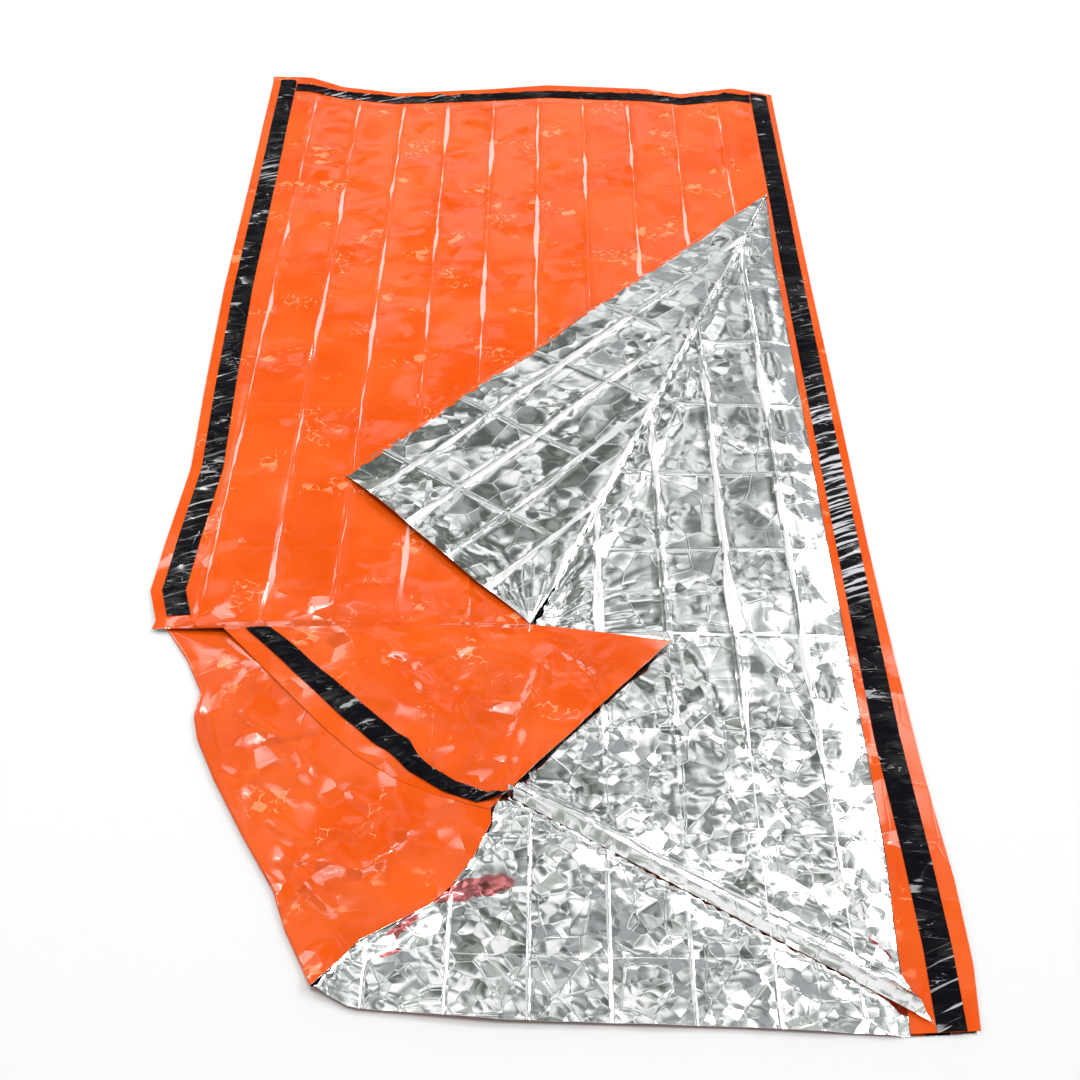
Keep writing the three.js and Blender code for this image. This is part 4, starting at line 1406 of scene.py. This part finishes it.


# %% [markdown]
# ## The orange face
#
# The outside is a glossy orange. Along the lengthwise packing creases it is pale, partly as film
# whitened where it is turned most sharply and partly as a painted highlight, and small crinkles
# carry painted glints. A single colour would look like card, so it is clouded a little, and the
# pale lines and painted glints are blended over it. Its facets are softer than the silver's,
# because hard ones would break the light patches up too finely. They are flatter beyond the pleat
# and near the seams, where the film is drawn tight.

# %% Orange face
ORANGE_DEEP = (0.585, 0.062, 0.002, 1)
ORANGE_BRIGHT = (0.64, 0.080, 0.003, 1)
ORANGE_CREASE_WHITE_AND_HIGHLIGHT = (0.72, 0.44, 0.40, 1)
ORANGE_PAINTED_GLINT = (0.92, 0.40, 0.20, 1)
CREASE_WHITE_AND_HIGHLIGHT_SHARE = 0.8
PAINTED_GLINT_SHARE = 0.6
ORANGE_ROUGHNESS = (0.09, 0.20)
CLOUD_EDGE = (0.35, 0.65)
LINES_OUT_TO = (0.43, 0.44)  # metres from the pattern's middle
LINES_FROM = (0.62, 0.70)  # metres from the mouth
LINES_UP_TO = (2.03, 2.06)
LOOSE_UP_TO = (0.58, 0.85)
LOOSE_OUT_TO = (0.420, 0.435)
DRAWN_TIGHT = {"past pleat": 0.28, "at seam": 0.25}  # shares of the slopes that stay
LOOSE_SLOPES = (0.30, 0.62)


def make_orange():
    finish, tree = new_finish("orange film")
    uv = pattern_uv(tree)
    across, along = tree.parts(uv)[:2]
    lines = place_group(tree, creases_group, Pattern=uv, Width=0.0028, Crosswise=0.04)
    inside = tree.spread(tree.math("ABSOLUTE", across), *LINES_OUT_TO, 1.0, 0.0)
    past_pleat = tree.spread(along, *LINES_FROM)
    lines = tree.product(lines, inside, past_pleat, tree.spread(along, *LINES_UP_TO, 1.0, 0.0))
    loose = tree.spread(along, *LOOSE_UP_TO, 1.0, DRAWN_TIGHT["past pleat"])
    beside = tree.spread(across, *LOOSE_OUT_TO, 1.0, DRAWN_TIGHT["at seam"])
    loose = tree.product(loose, beside)
    slope, fine_slope = (tree.product(loose, most) for most in LOOSE_SLOPES)
    facets = place_group(
        tree, facets_group, Pattern=uv, Facet_Size=0.060, Slope=slope, Edge_Height=0.00007,
        Fine_Size=0.026, Fine_Slope=fine_slope, Fine_Share=0.36, Softness=0.9, Fine_Crown=0.08,
    )
    clouds = tree.noise(uv, scale=7.0, detail=4.0)["Fac"]
    base = tree.blend(tree.spread(clouds, *CLOUD_EDGE), ORANGE_DEEP, ORANGE_BRIGHT)
    # Pale crease lines: partly whitened film, partly a painted highlight.
    base = tree.blend(tree.product(lines, CREASE_WHITE_AND_HIGHLIGHT_SHARE), base, ORANGE_CREASE_WHITE_AND_HIGHLIGHT)
    # Painted glints: light lines and cells blended into the colour where crinkles would catch
    # light.
    crinkles = place_group(tree, painted_glints_group, Pattern=uv, Size=0.015, Share=0.43)
    base = tree.blend(tree.product(crinkles, PAINTED_GLINT_SHARE), base, ORANGE_PAINTED_GLINT)
    roughness = tree.spread(clouds, 0.3, 0.7, *ORANGE_ROUGHNESS)
    set_shader(tree, Base_Color=base, Roughness=roughness, Normal=facets, Specular_IOR_Level=0.36)
    return finish


orange_film = make_orange()

# %% [markdown]
# ## The silver face
#
# The inside is bare metal, so nearly all that it shows is the room, broken up by its folds. A
# smooth mirror with facets alone looks like hammered sheet. Fine sharp folds between the facets
# make it film, and at the flap's foot, where all is pulled together, narrow folds run out like a
# fan. Where it lies beside turned-over film it mirrors the orange face. The real folds there stand
# steeper than these, so that reflection is coloured in.

# %% Silver: fine sharp folds
FAN_HEIGHT = 0.011
FAN_STRETCH = (2.9, 3.0, 1.0)  # folds round the foot, and along them
FAN_GROWS = (0.0, 0.10)  # metres from the foot
FAN_FADES = (0.10, 0.26)


def sharp_folds(tree, place_on, scale):
    """A height with sharp valleys, like film that was crushed."""
    noise = tree.noise(place_on, scale, detail=1.0)["Fac"]
    return tree.math("ABSOLUTE", tree.math("SUBTRACT", noise, 0.5))


def fan_height(tree, uv):
    """Narrow folds that run together at the flap's foot."""
    off = tree.vector("SUBTRACT", uv, (*(FLAP_FOOT * MM), 0.0))
    away = tree.length(off)
    parts = tree.parts(off)
    turn = tree.math("ARCTAN2", parts["Y"], parts["X"])
    polar = tree.add("ShaderNodeCombineXYZ", {"X": turn, "Y": away}).outputs[0]
    sharp = sharp_folds(tree, tree.vector("MULTIPLY", polar, FAN_STRETCH), 1.0)
    grown = tree.spread(away, *FAN_GROWS, 0.15, 1.0)
    return tree.product(sharp, tree.product(grown, tree.spread(away, *FAN_FADES, 1.0, 0.0)))


print("the fan of folds reaches", round(FAN_FADES[1] / MM), "mm from the flap's foot")

# %% Silver: the orange that it mirrors
REFLECTED = [
    {"at": (-28, 171), "reach": (58, 16), "turn": 19},
    {"at": (-97, 114), "reach": (28, 8), "turn": 52},
    {"at": (-108, 79), "reach": (14, 4), "turn": 30},
    {"at": (393, 100), "reach": (15, 5), "turn": -40},
]
REFLECTED_EDGE = (1.25, 1.45)
REFLECTED_SHARE = 0.85


def reflected_orange(tree, uv):
    """Where the silver beside the turned-over film mirrors its orange face."""
    ragged = tree.noise(uv, scale=60.0, detail=1.0)["Fac"]
    found = 0.0
    for row in REFLECTED:
        x, y = row["at"]
        half, width = row["reach"]
        spot = {"Vector": uv, "Location": (x * MM, y * MM, 0), "Scale": (half * MM, width * MM, 1)}
        spot["Rotation"] = (0, 0, math.radians(row["turn"]))
        on_spot = tree.add("ShaderNodeMapping", spot, vector_type="TEXTURE").outputs[0]
        away = tree.math("ADD", tree.length(on_spot), ragged)
        here = tree.spread(away, *REFLECTED_EDGE, REFLECTED_SHARE, 0.0)
        found = tree.math("MAXIMUM", found, here)
    return found


print(len(REFLECTED), "places mirror the orange face")

# %% Silver face
SILVER = (0.93, 0.945, 0.94, 1)
SILVER_CREASED = (1.0, 1.0, 1.0, 1)
SILVER_MIRRORS = (0.86, 0.15, 0.16, 1)
SILVER_ROUGHNESS = 0.12
CREASES_ROUGHER = 0.25
NEAR_MOUTH = (0.25, 0.60)  # metres from the mouth, where the film is more crumpled
FOLDS_SCALE = 27.0


def make_silver():
    finish, tree = new_finish("silver film")
    uv = pattern_uv(tree)
    near = tree.spread(tree.parts(uv)["Y"], *NEAR_MOUTH, 1.0, 0.0)

    def towards_mouth(more, least):
        return tree.math("MULTIPLY_ADD", near, more, least)

    facets = place_group(
        tree, facets_group, Pattern=uv, Facet_Size=0.042, Slope=0.13, Edge_Height=0.00008,
        Fine_Size=0.018, Fine_Slope=towards_mouth(0.08, 0.18), Softness=0.12,
        Fine_Share=towards_mouth(0.16, 0.38), Fine_Softness=0.15, Fine_Crown=0.2,
    )
    width = towards_mouth(-0.0032, 0.0045)
    lines = place_group(tree, creases_group, Pattern=uv, Width=width, Crosswise=0.6)
    base = tree.blend(lines, SILVER, SILVER_CREASED)
    base = tree.blend(reflected_orange(tree, uv), base, SILVER_MIRRORS)
    streaks = tree.product(sharp_folds(tree, uv, FOLDS_SCALE), towards_mouth(0.09, 0.07))
    height = tree.math("ADD", fan_height(tree, uv), streaks)
    folds = {"Height": height, "Distance": FAN_HEIGHT, "Normal": facets}
    normal = tree.add("ShaderNodeBump", folds).outputs["Normal"]
    roughness = tree.math("MULTIPLY_ADD", lines, CREASES_ROUGHER, SILVER_ROUGHNESS)
    set_shader(tree, Base_Color=base, Roughness=roughness, Normal=normal, Metallic=1.0)
    return finish


silver_film = make_silver()

# %% [markdown]
# ## The black tape
#
# The tape is a glossy black plastic. Slanting grey strokes painted on it stand in for highlights on
# its wrinkles, most of all on one stretch of the right side, and small painted glints sit on its
# puckers. Strokes drawn one by one would all be alike, so noise that is drawn out across the tape
# makes them, and a second, broad noise chooses where they are.

# %% Black tape
BLACK_DEEP = (0.002, 0.002, 0.003, 1)
BLACK_WORN_THIN = (0.006, 0.005, 0.007, 1)
STREAK_HIGHLIGHT_GREY = (0.50, 0.50, 0.52, 1)
GLINT_GREY = (0.55, 0.55, 0.57, 1)
GLINT_SHARE = 0.7
BLACK_ROUGHNESS = (0.12, 0.24)
STREAK_HIGHLIGHT_SHARE = 0.85
STREAK_EDGE = (0.58, 0.64)
STREAKED_PLACES = (0.53, 0.64)
STREAK_SLANT = -0.45
STREAK_STRETCH = (9.0, 150.0, 1.0)
MOST_STREAKS_FROM = (0.60, 0.68)  # the part of the right tape with the most painted highlight streaks, in metres
MOST_STREAKS_TO = (1.00, 1.14)
RIGHT_OF = 0.1
MORE_STREAKS_THERE = 0.07


def streaky_stretch(tree, uv):
    """1 on the stretch of the right tape with the most painted highlight streaks."""
    place_on = tree.parts(uv)
    begins = tree.spread(place_on["Y"], *MOST_STREAKS_FROM)
    ends = tree.spread(place_on["Y"], *MOST_STREAKS_TO, 1.0, 0.0)
    return tree.product(begins, ends, tree.math("GREATER_THAN", place_on["X"], RIGHT_OF))


def make_black():
    finish, tree = new_finish("black tape")
    uv = pattern_uv(tree)
    stretched = tree.vector("MULTIPLY", uv, (1.0, 3.0, 1.0))
    facets = place_group(
        tree, facets_group, Pattern=stretched, Facet_Size=0.06, Slope=0.30, Edge_Height=0.0006,
        Fine_Size=0.022, Fine_Slope=0.35, Fine_Share=0.4,
    )
    clouds = tree.noise(stretched, scale=40.0, detail=3.0)["Fac"]
    base = tree.blend(clouds, BLACK_DEEP, BLACK_WORN_THIN)
    slanted = tree.add("ShaderNodeMapping", {"Vector": uv, "Rotation": (0, 0, STREAK_SLANT)})
    drawn_out = tree.vector("MULTIPLY", slanted.outputs[0], STREAK_STRETCH)
    streaky = streaky_stretch(tree, uv)
    strokes = tree.noise(drawn_out, scale=1.0, detail=3.0)["Fac"]
    strokes = tree.math("MULTIPLY_ADD", streaky, MORE_STREAKS_THERE, strokes)
    places = tree.spread(tree.noise(uv, scale=3.2, detail=1.0)["Fac"], *STREAKED_PLACES)
    places = tree.math("MAXIMUM", streaky, places)
    # Painted highlight streaks: grey strokes blended into the black where wrinkles would shine.
    painted_streaks = tree.product(tree.spread(strokes, *STREAK_EDGE, 0.0, STREAK_HIGHLIGHT_SHARE), places)
    base = tree.blend(painted_streaks, base, STREAK_HIGHLIGHT_GREY)
    # Painted glints on the tape's puckers.
    glints = place_group(tree, painted_glints_group, Pattern=stretched, Size=0.016, Share=0.42)
    base = tree.blend(tree.product(glints, GLINT_SHARE), base, GLINT_GREY)
    roughness = tree.spread(clouds, 0.3, 0.7, *BLACK_ROUGHNESS)
    set_shader(tree, Base_Color=base, Roughness=roughness, Normal=facets, Specular_IOR_Level=0.025)
    return finish


black_tape = make_black()

# %% [markdown]
# ## The floor
#
# The floor is a plain pale one, as for any product. It is only a little grainy, so that it stays
# quiet beside the foil, and rough enough to mirror nothing.

# %% Finish of the floor
FLOOR_GREYS = (0.594, 0.608)


def make_floor():
    finish, tree = new_finish("pale floor")
    place_on = tree.add("ShaderNodeTexCoord").outputs["Object"]
    greys = [(grey, grey, grey, 1) for grey in FLOOR_GREYS]
    base = tree.blend(tree.noise(place_on, scale=60.0, detail=2.0)["Fac"], *greys)
    set_shader(tree, Base_Color=base, Roughness=0.7)
    return finish


floor_mesh.materials.append(make_floor())

# %% [markdown]
# ## Making the pieces
#
# The front sheet is orange on its upper face and silver below, the back sheet the other way round.
# Each block of rows is laid beside the last, and the welding joins them.

# %% Front sheet
front = Sheet()
field = front_field(front)
flap = front_flap(front, field)
strip = front_strip(front, flap)
corner = front_corner(front, field)
front_under(front, corner)
front_piece = front.build("front_sheet", orange_film, silver_film)

# %% Back sheet
back = Sheet()
body = back_body(back)
back_over(back, body)
back_piece = back.build("back_sheet", silver_film, orange_film)


# %% Side tapes
SIDE_PUCKER = 2.2
ABOVE_PLEAT = 18.0


def side_tape(name, block, rows, seed):
    """Tape over the taped columns of a block that was laid before."""
    x, y, z = (values[rows, TAPED] for values in block)
    along = np.repeat(y[:, :1], x.shape[1], 1)
    across = x - x[:, :1]
    z = z + pucker(along, across, SIDE_PUCKER, seed)
    return tape_piece(name, x, y, z, along, x)


strip_rows = np.nonzero(strip[1][:, 3] < FOOT_MEAN - SEAM_MARGIN)[0]
right_piece = side_tape("seam_tape_right", strip, strip_rows, 11)
left_rows = np.nonzero((FIELD_Y > FLAP_FOOT[1] + ABOVE_PLEAT) & (FIELD_Y < FOOT_MEAN - 6))[0]
left_piece = side_tape("seam_tape_left", field, left_rows, 12)

# %% Tape on the pulled-round corner, twisted where it goes over the mouth edge
TAPE_KNOT = (9.0, 305.0, 13.5)
KNOT_LENGTH = 30.0
KNOT_TWIST = 2.5
SEAM_LENGTH = 420.0
MOUTH_TAPE_RISE = 0.5
MOUTH_PUCKER = 3.5
GATHERED = (1.0, 1.8)  # the puckers are higher towards the mouth
GATHERS_FROM = 0.66  # share of the way to the mouth
GATHERS_BY = 0.1
MOUTH_TAPE_ENDS = (0.02, 0.97)
MOUTH_TAPE_ROWS = 70
ACROSS_TAPE = 5  # points across a tape
KNOT_ROWS = 10
KNOT_NARROWS = 0.55


def mouth_tape():
    """Along the corner's seam, and on to the knot at the mouth."""
    v = np.linspace(*MOUTH_TAPE_ENDS, MOUTH_TAPE_ROWS)
    width = np.linalg.norm(corner_seam(v) - corner_fold(v), axis=-1)
    margin, breadth = (read(MOUTH_TAPE, "v", v, name)[:, None] for name in ("margin", "width"))
    share = np.linspace(0, 1, ACROSS_TAPE)[None, :]
    u = (margin + share * breadth) / width[:, None]
    x, y, z = corner_point(u, repeat_rows(v, ACROSS_TAPE))
    along = repeat_rows(v * SEAM_LENGTH, ACROSS_TAPE)
    across = share * TAPE_WIDTH + 0 * along
    gathered = mix(*GATHERED, ease((v - GATHERS_FROM) / GATHERS_BY))[:, None]
    z = z + MOUTH_TAPE_RISE + pucker(along, across, MOUTH_PUCKER, 13) * gathered
    t = np.linspace(1 / KNOT_ROWS, 1, KNOT_ROWS)[:, None]
    narrowed = 1 - KNOT_NARROWS * t
    middle = [values[-1:, 2:3] for values in (x, y, z)]
    spread_out = [values[-1:] - centre for values, centre in zip((x, y, z), middle)]
    knot = [mix(a, b, t) + narrowed * c for a, b, c in zip(middle, TAPE_KNOT, spread_out)]
    knot[2] = knot[2] + KNOT_TWIST * np.sin(2 * math.pi * t) * (share - 0.5)
    x, y, z = one_after_other((x, y, z), knot)
    along = np.vstack([along, along[-1:] + KNOT_LENGTH * t])
    across = np.vstack([across, across[-1:] + 0 * t])
    return tape_piece("seam_tape_mouth", x, y, z, along, across)


mouth_piece = mouth_tape()

# %% Tape across the foot
FOOT_COLUMNS = 130
FOOT_TAPE_RISE = 0.4
FOOT_PUCKER = 2.5
BETWEEN_TAPES = (47.0, 2.0)  # in from the left side, and from the right tape
FOOT_ENDS_Y = 2100.0
FOOT_TAPE_Y = 2000.0  # its own pattern counts from here


def foot_tape():
    low, high = left_side(FOOT_ENDS_Y), tape_inner(FOOT_ENDS_Y)
    ends = low + BETWEEN_TAPES[0], high - BETWEEN_TAPES[1]
    inset = np.linspace(SEAM_MARGIN + TAPE_WIDTH, SEAM_MARGIN, ACROSS_TAPE)
    x = np.repeat(np.linspace(*ends, FOOT_COLUMNS)[None, :], ACROSS_TAPE, 0)
    y = read(FOOT, "x", x, "y") - inset[:, None]
    z = field_height(x, y) + FOOT_TAPE_RISE + pucker(x, y, FOOT_PUCKER, 14)
    return tape_piece("seam_tape_foot", x, y, z, y - FOOT_TAPE_Y, x)


foot_piece = foot_tape()

# %% [markdown]
# ## Putting the pieces in the frame
#
# Every piece is hung from the frame's root, and the part of the frame that it stands for is hidden.

# %% Attach the pieces and hide their parts
FILM_SIZE = (0.945, 2.13)
PIECES = [
    (front_piece, "front_panel", "orange_film", FILM_SIZE, "folded"),
    (back_piece, "back_panel", "silver_film", FILM_SIZE, "folded"),
    (right_piece, "tape_right", "black_tape", (0.03, 2.1), "laid"),
    (left_piece, "tape_left", "black_tape", (0.03, 1.51), "laid"),
    (mouth_piece, "tape_mouth", "black_tape", (0.03, 0.4), "laid"),
    (foot_piece, "tape_foot", "black_tape", (0.03, 0.86), "laid"),
]
for piece, node, slot, flat, held in PIECES:
    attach(piece, "root")
    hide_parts(node)
